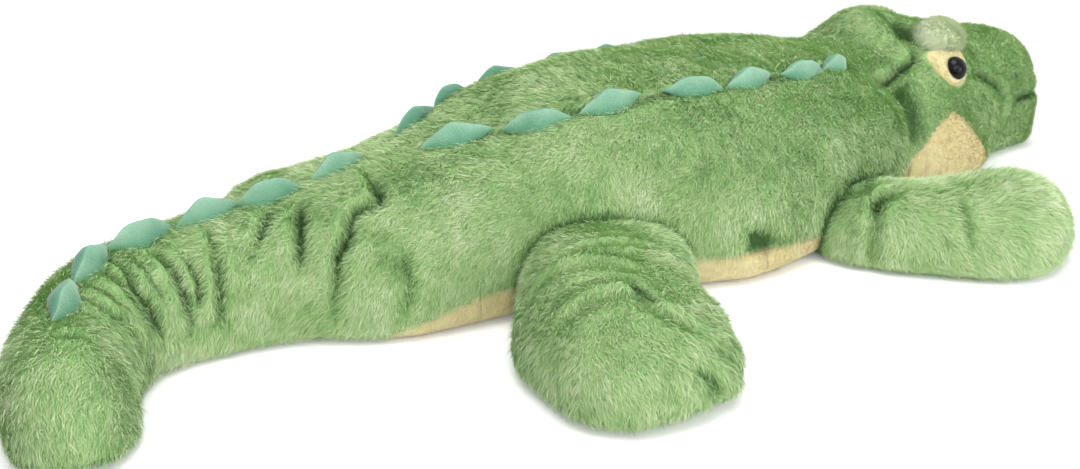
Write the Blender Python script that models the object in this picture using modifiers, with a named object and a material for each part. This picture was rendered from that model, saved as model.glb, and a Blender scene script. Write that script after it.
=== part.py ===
"""Plush crocodile that lies on its belly, with its tail curled to its right.

Metres, +Z up, +X towards the head, +Y the crocodile's left. The origin is on the belly's flat, under
the middle of the back. Every plush piece is a shell cut from a swelling and tapering form, over a
core of stuffing that follows the same form.
"""
import math

import bmesh
import bpy
import numpy as np
from mathutils import Matrix, Vector

# Fabric, clearances and cuts
GAP = 0.0003
STUFFING_GAP = 0.0006
PLUSH_THICKNESS = 0.006
FLOOR_FLAT_DEPTH = 0.0005
OVERRUN = 0.03
REACH = 0.5

# Trunk: tail, torso, neck and head in one run, measured along its centre line
RUMP_TO_ORIGIN = 0.157
ORIGIN_TO_NECK = 0.235
TORSO_HALF_WIDTH = 0.114
TORSO_HEIGHT = 0.107
TAIL_LENGTH = 0.212
TAIL_HALF_WIDTH = 0.052
TAIL_HEIGHT = 0.0635
TAIL_TIP_ROUND = 0.030
HEAD_LENGTH = 0.210
HEAD_HALF_WIDTH = 0.060
HEAD_HEIGHT = 0.098
MUZZLE_ROUND = 0.034
RING_SPACING = 0.028
TRUNK_SIDES = 16
END_RING_ANGLES = (14.0, 38.0, 64.0, 90.0)
OUTLINE_SAMPLES = 361
SEAM_SAMPLES = 18
FRAME_STEP = 0.003
FRAME_TURN = 0.05

# Shares of the tail's length back and to its right, of its half width and of its height
TAIL_SHARES = [
    (0.693, 0.510, 0.460, 0.709),
    (0.675, 0.354, 0.480, 0.720),
    (0.630, 0.222, 0.512, 0.740),
    (0.538, 0.085, 0.580, 0.787),
    (0.401, 0.014, 0.670, 0.835),
    (0.250, 0.000, 0.770, 0.882),
    (0.090, 0.000, 0.885, 0.945),
]
# Shares along the torso, of its half width, of its height, and of its height that the left side sags
TORSO_SHARES = [
    (0.000, 0.470, 0.593, 0.00),
    (0.145, 0.660, 0.700, 0.05),
    (0.247, 0.770, 0.800, 0.15),
    (0.349, 0.860, 0.925, 0.28),
    (0.477, 0.956, 0.985, 0.30),
    (0.605, 1.000, 0.995, 0.30),
    (0.732, 0.990, 0.985, 0.28),
    (0.834, 0.930, 0.950, 0.20),
    (0.911, 0.790, 0.905, 0.10),
    (0.962, 0.640, 0.860, 0.05),
    (1.000, 0.540, 0.836, 0.00),
]
# Shares along the head, of its half width, of its height, and of its height that it clears the floor
HEAD_SHARES = [
    (0.000, 1.000, 0.900, 0.080),
    (0.120, 1.080, 0.900, 0.080),
    (0.240, 1.110, 0.960, 0.050),
    (0.343, 1.070, 1.000, 0.000),
    (0.450, 1.000, 0.960, 0.000),
    (0.600, 0.860, 0.870, 0.000),
    (0.760, 0.800, 0.830, 0.000),
    (1.000, 0.780, 0.790, 0.000),
]

# Cross sections: squareness of the upper and lower half, and how high the widest line runs
TORSO_SQUARENESS = 2.2
HEAD_SQUARENESS = 2.7
LOWER_SQUARENESS = 3.5
TRUNK_WIDEST_SHARE = 0.20
HEAD_WIDEST_SHARE = 0.30
LEG_WIDEST_SHARE = 0.28

# Seams that part the torso's plush
GUSSET_SHARES = [
    (0.107, 0.010),
    (0.202, 0.184),
    (0.296, 0.368),
    (0.400, 0.465),
    (0.536, 0.535),
    (0.640, 0.553),
    (0.750, 0.544),
    (0.852, 0.475),
    (1.000, 0.350),
]
BELLY_SEAM_SHARES = [
    (0.020, -0.200),
    (0.060, 0.080),
    (0.100, 0.125),
    (0.200, 0.150),
    (0.350, 0.170),
    (0.600, 0.165),
    (0.740, 0.140),
    (0.850, 0.140),
    (1.000, 0.200),
]
THROAT_SEAM_SHARES = [
    (0.000, 0.150),
    (0.120, 0.220),
    (0.240, 0.340),
    (0.343, 0.400),
    (0.450, 0.300),
    (0.560, 0.080),
    (0.640, -0.060),
]

# Hinges: how far along the trunk they sit, and how proud of the plush their round end stands
HINGE_OVERSIZE_SHARE = 1.08
NECK_OVERSIZE_SHARE = 1.12
HINGE_SETBACK_SHARE = 0.25
HINGE_SEGMENTS = 28
PHASE_SHARE = 0.37
TAIL_HINGE_SHARES = (0.212, 0.500, 0.781)
HEAD_LIFT_SHARE = 0.214

# Spikes: length, width and height of a leaf, and their places in the seams
SPIKE_LENGTH = 0.036
TAIL_SPIKE_LENGTH = 0.0335
SPIKE_WIDTH = 0.013
SPIKE_HEIGHT = 0.011
SPIKE_SINK = 0.0012
SPIKE_GAP = 0.00045
SPIKE_SIDES = 8
SPIKE_RINGS = 6
ROW_SPIKE_SHARES = (0.202, 0.296, 0.400, 0.536, 0.640, 0.750, 0.838)
LAST_SPIKE_SHARE = 0.78
RUMP_SPIKE_SHARE = 0.048
TAIL_SPIKE_SHARES = (0.088, 0.246, 0.404, 0.556, 0.721)

# Legs: hip place along and out from the centre line, reach, widths and heights
HIND_HIP_ALONG = -0.035
HIND_HIP_OUT = 0.093
HIND_REACH = 0.120
HIND_HALF_WIDTH = 0.047
HIND_RIGHT_HEIGHT = 0.050
HIND_LEFT_HEIGHT = 0.044
HIND_ROOT_RADIUS = 0.047
FORE_HIP_ALONG = 0.147
FORE_HIP_OUT = 0.104
FORE_REACH = 0.094
FORE_HALF_WIDTH = 0.042
FORE_HEIGHT = 0.043
FORE_ROOT_RADIUS = 0.039
TOE_ROUND = 0.032
LEG_SIDES = 12
ROOT_SEGMENTS = 16
ROOT_RINGS = 5
ROOT_MOUTH_RADIUS = 0.008
# Shares of the reach out and forward, of the half width and of the height
HIND_SHARES = [
    (0.000, 0.000, 0.790, 0.900),
    (0.256, -0.190, 0.900, 1.000),
    (0.513, -0.350, 0.960, 0.960),
    (0.770, -0.380, 1.000, 0.840),
    (1.000, -0.330, 0.980, 0.800),
]
FORE_SHARES = [
    (0.000, 0.000, 0.780, 0.820),
    (0.350, 0.300, 0.820, 0.850),
    (0.620, 0.560, 0.920, 0.930),
    (0.920, 0.850, 1.000, 1.000),
]
# Degrees that each leg lies forward of those shares, and that it swings from there
HIND_LEFT_LAY = -62.0
HIND_RIGHT_SWING = (-15.0, 35.0)
HIND_LEFT_SWING = (0.0, 60.0)
FORE_SWING = (0.0, 40.0)

# Eyes, their patches and lids
EYE_ALONG_SHARE = 0.300
EYE_ANGLE = 55.0
EYE_SEGMENTS = 16
EYE_RINGS = 5
EYE_RADIUS = 0.008
EYE_DOME_HEIGHT = 0.006
EYE_STEM_RADIUS = 0.0022
EYE_STEM_END = 0.005
WASHER_RADIUS = 0.006
WASHER_THICKNESS = 0.0015
WASHER_SETBACK = 0.0044
PATCH_RADIUS = 0.0145
PATCH_THICKNESS = 0.002
LID_ALONG_SHARE = 0.325
LID_ANGLE = 25.0
LID_HALF_LENGTH = 0.020
LID_HALF_WIDTH = 0.014
LID_HALF_HEIGHT = 0.012
LID_SIDES = 12
LID_RINGS = 6

# Base colour and roughness of each material
GREEN = (0.33, 0.50, 0.22)
YELLOW = (0.78, 0.60, 0.22)
TEAL = (0.15, 0.48, 0.29)
PALE_GREEN = (0.45, 0.60, 0.34)
CREAM = (0.75, 0.70, 0.38)
BLACK = (0.01, 0.01, 0.01)
WHITE = (0.85, 0.85, 0.82)
FABRIC_ROUGHNESS = 0.9
PLASTIC_ROUGHNESS = 0.1
WASHER_ROUGHNESS = 0.4


def clear_scene():
    for item in list(bpy.data.objects):
        bpy.data.objects.remove(item, do_unlink=True)


def new_collection(name):
    collection = bpy.data.collections.new(name)
    bpy.context.scene.collection.children.link(collection)
    return collection


def new_material(name, colour, roughness):
    material = bpy.data.materials.new(name)
    material.use_nodes = True
    shader = material.node_tree.nodes["Principled BSDF"]
    shader.inputs["Base Color"].default_value = (*colour, 1.0)
    shader.inputs["Roughness"].default_value = roughness
    shader.inputs["Metallic"].default_value = 0.0
    return material


def add_object(name, shape):
    """Turn a bmesh into a smooth-shaded object."""
    mesh = bpy.data.meshes.new(name)
    shape.to_mesh(mesh)
    shape.free()
    mesh.shade_smooth()
    return bpy.data.objects.new(name, mesh)


def make_piece(piece, colour, roughness=FABRIC_ROUGHNESS):
    PIECES.objects.link(piece)
    piece.data.materials.append(new_material(piece.name, colour, roughness))
    return piece


def make_cutter(cutter):
    CUTTERS.objects.link(cutter)
    cutter.hide_render = True
    cutter.display_type = "WIRE"
    return cutter


def cut(piece, cutter, operation="DIFFERENCE", solver="EXACT"):
    modifier = piece.modifiers.new(cutter.name, "BOOLEAN")
    modifier.operation = operation
    modifier.solver = solver
    modifier.object = cutter


def loft(name, rings):
    """Skin closed rings of points into one solid with flat ends, every quad split the same way."""
    shape = bmesh.new()
    loops = [[shape.verts.new(point) for point in ring] for ring in rings]
    for near, far in zip(loops, loops[1:]):
        for index in range(len(near)):
            after = (index + 1) % len(near)
            shape.faces.new((near[index], near[after], far[after]))
            shape.faces.new((near[index], far[after], far[index]))
    shape.faces.new(loops[0])
    shape.faces.new(loops[-1])
    bmesh.ops.recalc_face_normals(shape, faces=shape.faces)
    return add_object(name, shape)


def value_through(knots, values, place):
    """Read a smooth curve through rows of values at a place between the knots."""
    slopes = np.gradient(values, knots, axis=0)
    index = int(np.clip(np.searchsorted(knots, place) - 1, 0, len(knots) - 2))
    step = knots[index + 1] - knots[index]
    share = (place - knots[index]) / step
    start = (1 + 2 * share) * (1 - share) ** 2 * values[index]
    leave = share * (1 - share) ** 2 * step * slopes[index]
    end = share ** 2 * (3 - 2 * share) * values[index + 1]
    arrive = share ** 2 * (share - 1) * step * slopes[index + 1]
    return start + leave + end + arrive


def section_outline(row, angles, offset=0.0, share=1.0):
    """Superellipse with a flatter lower half, cut flat on the floor unless it is a larger cutter."""
    half_width, top, bottom, squareness, widest, sag = row
    middle = bottom + widest * (top - bottom)
    sine, cosine = np.sin(angles), np.cos(angles)
    power = np.where(cosine >= 0, 2 / squareness, 2 / LOWER_SQUARENESS)
    rise = np.where(cosine >= 0, top - middle + offset, middle - bottom + offset)
    sideways = (half_width + offset) * share * np.sign(sine) * np.abs(sine) ** power
    height = middle + rise * share * np.sign(cosine) * np.abs(cosine) ** power
    left = np.maximum(sideways, 0.0) / half_width
    height -= sag * left ** 2 * np.maximum(height - middle, 0.0)
    if offset <= 0:
        height = np.maximum(height, 0.0)
    return sideways, height


class SoftForm:
    """A stuffed tube along a path on the floor, rounded off at its closed ends.

    Each row holds x, y, half width, top, bottom, squareness of the upper half, how high the widest
    line runs and how far the left side sags.
    """

    def __init__(self, rows, sides, start_round=0.0, end_round=0.0):
        self.rows = np.array(rows, dtype=float)
        steps = np.linalg.norm(np.diff(self.rows[:, :2], axis=0), axis=1)
        self.knots = np.concatenate([[0.0], np.cumsum(steps)])
        self.sides = sides
        self.start_round = start_round
        self.end_round = end_round

    def shift_knots(self, distance):
        self.knots = self.knots + distance

    def at(self, along):
        return value_through(self.knots, self.rows, along)

    def heading(self, along):
        place = min(max(along, self.knots[0] + GAP), self.knots[-1] - GAP)
        return Vector((*(self.at(place + GAP) - self.at(place - GAP))[:2], 0.0)).normalized()

    def round_share(self, along, offset):
        """Share of the full section that is left near a rounded end."""
        share = 1.0
        ends = ((along - self.knots[0], self.start_round), (self.knots[-1] - along, self.end_round))
        for distance, length in ends:
            if length and distance + offset < length:
                short = (length - distance - offset) / length
                share *= math.sqrt(max(1.0 - short ** 2, 0.0))
        return share

    def section(self, along, angles, offset):
        """Sideways and height coordinates of the section at angles from its top."""
        return section_outline(self.at(along)[2:], angles, offset, self.round_share(along, offset))

    def even_angles(self, along, count):
        """Angles that space a section's points evenly round its outline."""
        fine = np.linspace(0.0, 2 * math.pi, OUTLINE_SAMPLES)
        sideways, height = self.section(along, fine, 0.0)
        walked = np.concatenate([[0.0], np.cumsum(np.hypot(np.diff(sideways), np.diff(height)))])
        return np.interp(np.linspace(0.0, walked[-1], count + 1)[:-1], walked, fine)

    def ring(self, along, offset=0.0, every=1):
        full_along = min(max(along, self.knots[0] + self.start_round), self.knots[-1] - self.end_round)
        angles = self.even_angles(full_along, self.sides)[::every]
        sideways, height = self.section(along, angles, offset)
        x, y = self.at(along)[:2]
        left = Vector((-self.heading(along).y, self.heading(along).x, 0.0))
        return [Vector((x, y, 0.0)) + left * s + Vector((0.0, 0.0, h)) for s, h in zip(sideways, height)]

    def places(self, start, end, offset):
        """Where the rings go from start to end, closer together on a rounded end."""
        first = self.knots[0] + self.start_round
        last = self.knots[-1] - self.end_round
        middle = np.arange(math.ceil(start / RING_SPACING), end / RING_SPACING) * RING_SPACING
        places = [place for place in middle if first <= place <= last]
        turns = [1.0 - math.cos(math.radians(angle)) for angle in END_RING_ANGLES]
        if start <= self.knots[0]:
            places += [self.knots[0] - offset + turn * self.start_round for turn in turns]
        else:
            places.append(start)
        if end >= self.knots[-1]:
            places += [self.knots[-1] + offset - turn * self.end_round for turn in turns]
        else:
            places.append(end)
        places.sort()
        kept = places[:1]
        for place in places[1:]:
            if place - kept[-1] > GAP:
                kept.append(place)
        return kept

    def solid(self, name, start, end, offset=0.0, every=1):
        rings = [self.ring(along, offset, every) for along in self.places(start, end, offset)]
        return loft(name, rings)

    def core(self, name, start, end):
        """The stuffing inside the plush, from every second point of the rings."""
        return self.solid(name, start, end, -PLUSH_THICKNESS - STUFFING_GAP, 2)

    def point(self, along, angle, offset=0.0):
        sideways, height = self.section(along, np.array([angle]), offset)
        x, y = self.at(along)[:2]
        heading = self.heading(along)
        return Vector((x - heading.y * sideways[0], y + heading.x * sideways[0], height[0]))

    def frame(self, along, angle):
        """Place, forward direction and outward direction on the form's surface."""
        ahead = self.point(along + FRAME_STEP, angle) - self.point(along - FRAME_STEP, angle)
        round_it = self.point(along, angle + FRAME_TURN) - self.point(along, angle - FRAME_TURN)
        outward = round_it.cross(ahead).normalized()
        if outward.dot(self.point(along, angle, GAP) - self.point(along, angle)) < 0:
            outward = -outward
        return self.point(along, angle), ahead.normalized(), outward


def trunk_form():
    """The run from the tail's tip to the muzzle's end."""
    rows = []
    for back, side, width, height in TAIL_SHARES:
        x = -RUMP_TO_ORIGIN - back * TAIL_LENGTH
        rows.append((x, -side * TAIL_LENGTH, width * TAIL_HALF_WIDTH, height * TAIL_HEIGHT,
                     -FLOOR_FLAT_DEPTH, TORSO_SQUARENESS, TRUNK_WIDEST_SHARE, 0.0))
    torso_length = RUMP_TO_ORIGIN + ORIGIN_TO_NECK
    for along, width, height, sag in TORSO_SHARES[:-1]:
        rows.append((along * torso_length - RUMP_TO_ORIGIN, 0.0, width * TORSO_HALF_WIDTH,
                     height * TORSO_HEIGHT, -FLOOR_FLAT_DEPTH, TORSO_SQUARENESS, TRUNK_WIDEST_SHARE, sag))
    for along, width, height, clear in HEAD_SHARES:
        bottom = clear * HEAD_HEIGHT - FLOOR_FLAT_DEPTH
        rows.append((ORIGIN_TO_NECK + along * HEAD_LENGTH, 0.0, width * HEAD_HALF_WIDTH,
                     height * HEAD_HEIGHT, bottom, HEAD_SQUARENESS, HEAD_WIDEST_SHARE, 0.0))
    form = SoftForm(rows, TRUNK_SIDES, TAIL_TIP_ROUND, MUZZLE_ROUND)
    form.shift_knots(rows[-1][0] - form.knots[-1])
    return form


def cylinder(name, centre, axis, radius, depth, segments):
    """A cylinder whose edges keep off the planes that the rings of a form share."""
    turn = Vector((0.0, 0.0, 1.0)).rotation_difference(axis).to_matrix().to_4x4()
    turn = turn @ Matrix.Rotation(PHASE_SHARE * 2 * math.pi / segments, 4, "Z")
    shape = bmesh.new()
    bmesh.ops.create_cone(shape, cap_ends=True, segments=segments, radius1=radius, radius2=radius,
                          depth=depth, matrix=Matrix.Translation(centre) @ turn)
    return add_object(name, shape)


def box(name, low, high):
    size = [b - a for a, b in zip(low, high)]
    centre = [(a + b) / 2 for a, b in zip(low, high)]
    shape = bmesh.new()
    bmesh.ops.create_cube(shape, size=1.0,
                          matrix=Matrix.Translation(centre) @ Matrix.Diagonal((*size, 1.0)))
    return add_object(name, shape)


def prism(name, outline, normal_axis, low, high):
    """Raise a flat outline of two coordinates along one axis."""
    shape = bmesh.new()
    corners = []
    for point in outline:
        corner = list(point)
        corner.insert(normal_axis, low)
        corners.append(shape.verts.new(corner))
    face = shape.faces.new(corners)
    raised = bmesh.ops.extrude_face_region(shape, geom=[face])["geom"]
    lift = [0.0, 0.0, 0.0]
    lift[normal_axis] = high - low
    moved = [item for item in raised if isinstance(item, bmesh.types.BMVert)]
    bmesh.ops.translate(shape, verts=moved, vec=lift)
    bmesh.ops.recalc_face_normals(shape, faces=shape.faces)
    return add_object(name, shape)


def turned(name, profile, segments, place, closed=False):
    """Turn a profile of radius and height, listed from the top down, about the local Z axis."""
    shape = bmesh.new()
    points = [shape.verts.new((radius, 0.0, height)) for radius, height in profile]
    for near, far in zip(points, points[1:]):
        shape.edges.new((near, far))
    if closed:
        shape.edges.new((points[-1], points[0]))
    piece = add_object(name, shape)
    piece.matrix_world = place
    screw = piece.modifiers.new("turn", "SCREW")
    screw.steps = segments
    screw.render_steps = segments
    screw.use_merge_vertices = True
    screw.merge_threshold = GAP / 10
    screw.use_smooth_shade = True
    return piece


class Hinge:
    """A round end of the moving piece that turns in a matching hollow of the piece that carries it."""

    def __init__(self, name, form, along, axis, to_parent, oversize=HINGE_OVERSIZE_SHARE):
        x, y, half_width, top, bottom = form.at(along)[:5]
        upright = axis.z != 0
        height = 0.0 if upright else (top + bottom) / 2
        self.pivot = Vector((x, y, height))
        self.along = along
        self.radius = oversize * (half_width if upright else (top - bottom) / 2)
        drum = make_cutter(cylinder(name + "_drum", self.pivot, axis, self.radius, REACH, HINGE_SEGMENTS))
        socket_radius = (self.radius + GAP) / math.cos(math.pi / HINGE_SEGMENTS)
        self.socket = make_cutter(
            cylinder(name + "_socket", self.pivot, axis, socket_radius, REACH, HINGE_SEGMENTS))
        depth = self.radius + 2 * OVERRUN
        self.collar = make_cutter(box(name + "_collar", (0.0, -REACH, -REACH), (depth, REACH, REACH)))
        side = form.heading(along) * to_parent
        turn = Matrix.Rotation(math.atan2(side.y, side.x), 4, "Z")
        self.collar.matrix_world = Matrix.Translation(self.pivot) @ turn
        cut(self.collar, drum)


def plush_and_stuffing(name, form, start, end, cutters, colour, solver="EXACT"):
    """A shell of plush and the stuffing that fills it, both cut by the same shapes."""
    plush = make_piece(form.solid(name + "_plush", start, end), colour)
    stuffing = make_piece(form.core(name + "_stuffing", start, end), WHITE)
    for cutter in cutters:
        cut(plush, cutter, solver=solver)
        cut(stuffing, cutter, solver=solver)
    cavity = make_cutter(form.solid(name + "_cavity", start - OVERRUN, end + OVERRUN, -PLUSH_THICKNESS))
    cut(plush, cavity, solver=solver)
    return plush, stuffing


def along_torso(share):
    return share * (RUMP_TO_ORIGIN + ORIGIN_TO_NECK) - RUMP_TO_ORIGIN


def table_through(shares, share):
    """Read a seam's table smoothly, held at its first and last row outside it."""
    knots = np.array([row[0] for row in shares])
    values = np.array([row[1:] for row in shares])
    return value_through(knots, values, min(max(share, knots[0]), knots[-1]))[0]


def gusset_half_width(along):
    share = (along + RUMP_TO_ORIGIN) / (RUMP_TO_ORIGIN + ORIGIN_TO_NECK)
    return table_through(GUSSET_SHARES, share) * TORSO_HALF_WIDTH


def gusset_cutter(name, grow):
    """Plan of the back gusset, from its point over the rump to past the neck."""
    shares = np.linspace(GUSSET_SHARES[0][0], GUSSET_SHARES[-1][0], SEAM_SAMPLES)
    edge = [(along_torso(share), gusset_half_width(along_torso(share)) + grow) for share in shares]
    edge.append((ORIGIN_TO_NECK + REACH, edge[-1][1]))
    edge[0] = (edge[0][0] - grow, edge[0][1])
    outline = [(x, -y) for x, y in edge] + [(x, y) for x, y in reversed(edge)]
    return make_cutter(prism(name, outline, 2, TORSO_HEIGHT * TRUNK_WIDEST_SHARE, REACH))


def seam_cutter(name, shares, start, length, height, grow):
    """Everything below a seam that rises and falls along the trunk."""
    edge = [(start + share * length, rise * height + grow) for share, rise in shares]
    edge.append((edge[-1][0] + REACH, edge[-1][1]))
    outline = edge + [(edge[-1][0], -REACH), (edge[0][0], -REACH)]
    return make_cutter(prism(name, outline, 1, -REACH, REACH))


def make_torso(form, start, end, sockets):
    """Back gusset, two flanks and belly panel over the torso's stuffing."""
    length = RUMP_TO_ORIGIN + ORIGIN_TO_NECK
    cavity = make_cutter(form.solid("torso_cavity", start - OVERRUN, end + OVERRUN, -PLUSH_THICKNESS))
    gusset_keep = gusset_cutter("gusset_keep", -GAP / 2)
    gusset_clear = gusset_cutter("gusset_clear", GAP / 2)
    belly_keep = seam_cutter("belly_keep", BELLY_SEAM_SHARES, -RUMP_TO_ORIGIN, length,
                             TORSO_HEIGHT, -GAP / 2)
    belly_clear = seam_cutter("belly_clear", BELLY_SEAM_SHARES, -RUMP_TO_ORIGIN, length,
                              TORSO_HEIGHT, GAP / 2)
    right_half = make_cutter(box("right_half", (-REACH, -REACH, -REACH), (REACH, GAP / 2, REACH)))
    left_half = make_cutter(box("left_half", (-REACH, -GAP / 2, -REACH), (REACH, REACH, REACH)))
    for name, colour, kept, cleared in (
            ("back_gusset", GREEN, [gusset_keep], []),
            ("flank_left", GREEN, [], [gusset_clear, belly_clear, right_half]),
            ("flank_right", GREEN, [], [gusset_clear, belly_clear, left_half]),
            ("belly_panel", YELLOW, [belly_keep], [])):
        piece = make_piece(form.solid(name, start, end), colour)
        for cutter in sockets:
            cut(piece, cutter)
        cut(piece, cavity)
        for cutter in kept:
            cut(piece, cutter, "INTERSECT")
        for cutter in cleared:
            cut(piece, cutter)
    stuffing = make_piece(form.core("torso_stuffing", start, end), WHITE)
    for cutter in sockets:
        cut(stuffing, cutter)


def root_solid(name, hip, radius, height, offset):
    """Round root of a leg, turned about its upright hip axis."""
    angles = np.linspace(0.0, math.pi, ROOT_RINGS)
    row = (radius, height, -FLOOR_FLAT_DEPTH, TORSO_SQUARENESS, LEG_WIDEST_SHARE, 0.0)
    sideways, heights = section_outline(row, angles, offset)
    if offset > 0:
        sideways = sideways / math.cos(math.pi / ROOT_SEGMENTS)
    sideways[0] = sideways[-1] = 0.0
    return make_cutter(turned(name, list(zip(sideways, heights)), ROOT_SEGMENTS, Matrix.Translation(hip)))


def make_leg(name, side, hip_along, hip_out, reach, half_width, height, root_radius, shares,
             lay, swing, swing_sign, torso):
    """A leg's plush and stuffing; returns the socket for its root in the torso."""
    hip = Vector((hip_along, side * hip_out, 0.0))
    laid = Matrix.Rotation(math.radians(-side * lay), 3, "Z")
    rows = []
    for out, forward, width_share, height_share in shares:
        place = hip + laid @ Vector((forward * reach, side * out * reach, 0.0))
        rows.append((place.x, place.y, width_share * half_width, height_share * height,
                     -FLOOR_FLAT_DEPTH, TORSO_SQUARENESS, LEG_WIDEST_SHARE, 0.0))
    form = SoftForm(rows, LEG_SIDES, 0.0, TOE_ROUND)
    walls = []
    for index, angle in enumerate(sorted({0.0, *swing})):
        wall = make_cutter(bpy.data.objects.new(f"{name}_wall_{index}", torso.data))
        turn = Matrix.Rotation(math.radians(-angle * swing_sign * side), 4, "Z")
        wall.matrix_world = Matrix.Translation(hip) @ turn @ Matrix.Translation(-hip)
        walls.append(wall)
    start = form.knots[0] + GAP
    end = form.knots[-1]
    cavity = make_cutter(form.solid(name + "_cavity", start, end, -PLUSH_THICKNESS))
    cut(cavity, root_solid(name + "_root_cavity", hip, root_radius, height, -PLUSH_THICKNESS), "UNION",
        "MANIFOLD")
    plush = make_piece(form.solid(name + "_plush", start, end), GREEN)
    stuffing = make_piece(form.core(name + "_stuffing", start, end), WHITE)
    for wall in walls:
        cut(plush, wall, solver="MANIFOLD")
        cut(stuffing, wall, solver="MANIFOLD")
    cut(plush, root_solid(name + "_root", hip, root_radius, height, 0.0), "UNION", "MANIFOLD")
    cut(plush, cavity, solver="MANIFOLD")
    inward = Vector((0.0, -side, 0.0))
    mouth_place = hip + inward * root_radius + Vector((0.0, 0.0, height * LEG_WIDEST_SHARE))
    cut(plush, make_cutter(cylinder(name + "_mouth", mouth_place, inward, ROOT_MOUTH_RADIUS,
                                    root_radius, EYE_SEGMENTS)), solver="MANIFOLD")
    core = root_solid(name + "_root_core", hip, root_radius, height, -PLUSH_THICKNESS - STUFFING_GAP)
    cut(stuffing, core, "UNION", "MANIFOLD")
    return root_solid(name + "_socket", hip, root_radius, height, GAP)


def surface_matrix(place, forward, outward):
    across = outward.cross(forward).normalized()
    forward = across.cross(outward).normalized()
    matrix = Matrix((forward, across, outward)).transposed().to_4x4()
    matrix.translation = place
    return matrix


def make_spike(name, length, place, forward, outward, seat):
    """A padded leaf with a ridge, pointed at both ends, that stands on its seam."""
    shape = bmesh.new()
    bmesh.ops.create_uvsphere(shape, u_segments=SPIKE_SIDES, v_segments=SPIKE_RINGS, radius=1.0)
    for vertex in shape.verts:
        side, up, along = vertex.co
        taper = math.sqrt(max(1.0 - along ** 2, 0.0))
        vertex.co = (along * length / 2, side * taper * SPIKE_WIDTH / 2,
                     max(up, 0.0) * math.sqrt(taper) * SPIKE_HEIGHT)
    spike = make_piece(add_object(name, shape), TEAL)
    spike.matrix_world = surface_matrix(place - outward * SPIKE_SINK, forward, outward)
    cut(spike, seat)


def make_spikes(form):
    """Two rows in the gusset's seams and one row along the tail's centre seam."""
    fine = np.linspace(0.0, math.pi / 2, OUTLINE_SAMPLES)
    seat = make_cutter(form.solid("spike_seat", form.knots[0], form.knots[-1], SPIKE_GAP))

    def seam_angle(along):
        sideways, _ = form.section(along, fine, 0.0)
        return float(np.interp(gusset_half_width(along), sideways, fine))

    for side, side_name in ((1, "left"), (-1, "right")):
        for index, share in enumerate(ROW_SPIKE_SHARES):
            along = along_torso(share)
            length = SPIKE_LENGTH * (LAST_SPIKE_SHARE if share == ROW_SPIKE_SHARES[-1] else 1.0)
            place, _, outward = form.frame(along, side * seam_angle(along))
            ahead = form.point(along + SPIKE_LENGTH / 4, side * seam_angle(along + SPIKE_LENGTH / 4))
            behind = form.point(along - SPIKE_LENGTH / 4, side * seam_angle(along - SPIKE_LENGTH / 4))
            make_spike(f"spike_{side_name}_{index + 1}", length, place, ahead - behind, outward, seat)
    places = [along_torso(RUMP_SPIKE_SHARE)]
    places += [-RUMP_TO_ORIGIN - share * TAIL_LENGTH for share in TAIL_SPIKE_SHARES]
    for index, along in enumerate(places):
        place, forward, outward = form.frame(along, 0.0)
        make_spike(f"spike_tail_{index + 1}", TAIL_SPIKE_LENGTH, place, forward, outward, seat)


def lid_pad(name, matrix, grow):
    """The eyelid's pad: a stretched ball."""
    half = (LID_HALF_LENGTH + grow, LID_HALF_WIDTH + grow, LID_HALF_HEIGHT + grow, 1.0)
    shape = bmesh.new()
    bmesh.ops.create_uvsphere(shape, u_segments=LID_SIDES, v_segments=LID_RINGS, radius=1.0,
                              matrix=matrix @ Matrix.Diagonal(half))
    return add_object(name, shape)


def make_eye(form, side, side_name, plush, stuffing, bare, padded):
    """An eye on its stem, locked by a washer, through a patch and under a padded lid."""
    along = ORIGIN_TO_NECK + EYE_ALONG_SHARE * HEAD_LENGTH
    place, forward, outward = form.frame(along, side * math.radians(EYE_ANGLE))
    seat = PATCH_THICKNESS + 2 * GAP
    washer_depth = PLUSH_THICKNESS + WASHER_SETBACK
    stem_depth = washer_depth + WASHER_THICKNESS + EYE_STEM_END
    lid_along = ORIGIN_TO_NECK + LID_ALONG_SHARE * HEAD_LENGTH
    lid_frame = surface_matrix(*form.frame(lid_along, side * math.radians(LID_ANGLE)))
    lid = make_piece(lid_pad("eyelid_" + side_name, lid_frame, 0.0), PALE_GREEN)
    cut(lid, bare)
    patch = make_piece(cylinder("eye_patch_" + side_name, place, outward, PATCH_RADIUS,
                                PATCH_RADIUS, EYE_SEGMENTS), CREAM)
    cut(patch, padded, "INTERSECT")
    cut(patch, bare)
    cut(patch, make_cutter(lid_pad("lid_clear_" + side_name, lid_frame, GAP)))
    stem_hole = make_cutter(cylinder("stem_hole_" + side_name, place, outward, EYE_STEM_RADIUS + GAP,
                                     4 * PLUSH_THICKNESS, EYE_SEGMENTS))
    cut(patch, stem_hole)
    cut(plush, stem_hole)
    pocket_depth = stem_depth + 2 * GAP
    pocket_centre = place - outward * (pocket_depth - OVERRUN) / 2
    cut(stuffing, make_cutter(cylinder("washer_pocket_" + side_name, pocket_centre, outward,
                                       WASHER_RADIUS + WASHER_THICKNESS / 2,
                                       pocket_depth + OVERRUN, EYE_SEGMENTS)))
    matrix = surface_matrix(place, forward, outward)
    dome = [(EYE_RADIUS * math.sin(turn), seat + EYE_DOME_HEIGHT * math.cos(turn))
            for turn in np.linspace(0.0, math.pi / 2, EYE_RINGS)]
    stem = [(EYE_STEM_RADIUS, seat), (EYE_STEM_RADIUS, -stem_depth), (0.0, -stem_depth)]
    make_piece(turned("eye_" + side_name, dome + stem, EYE_SEGMENTS, matrix), BLACK, PLASTIC_ROUGHNESS)
    hole = EYE_STEM_RADIUS + GAP
    low = -washer_depth - WASHER_THICKNESS
    ring = [(hole, -washer_depth), (WASHER_RADIUS, -washer_depth), (WASHER_RADIUS, low), (hole, low)]
    make_piece(turned("eye_washer_" + side_name, ring, EYE_SEGMENTS, matrix, closed=True), WHITE,
               WASHER_ROUGHNESS)


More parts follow.
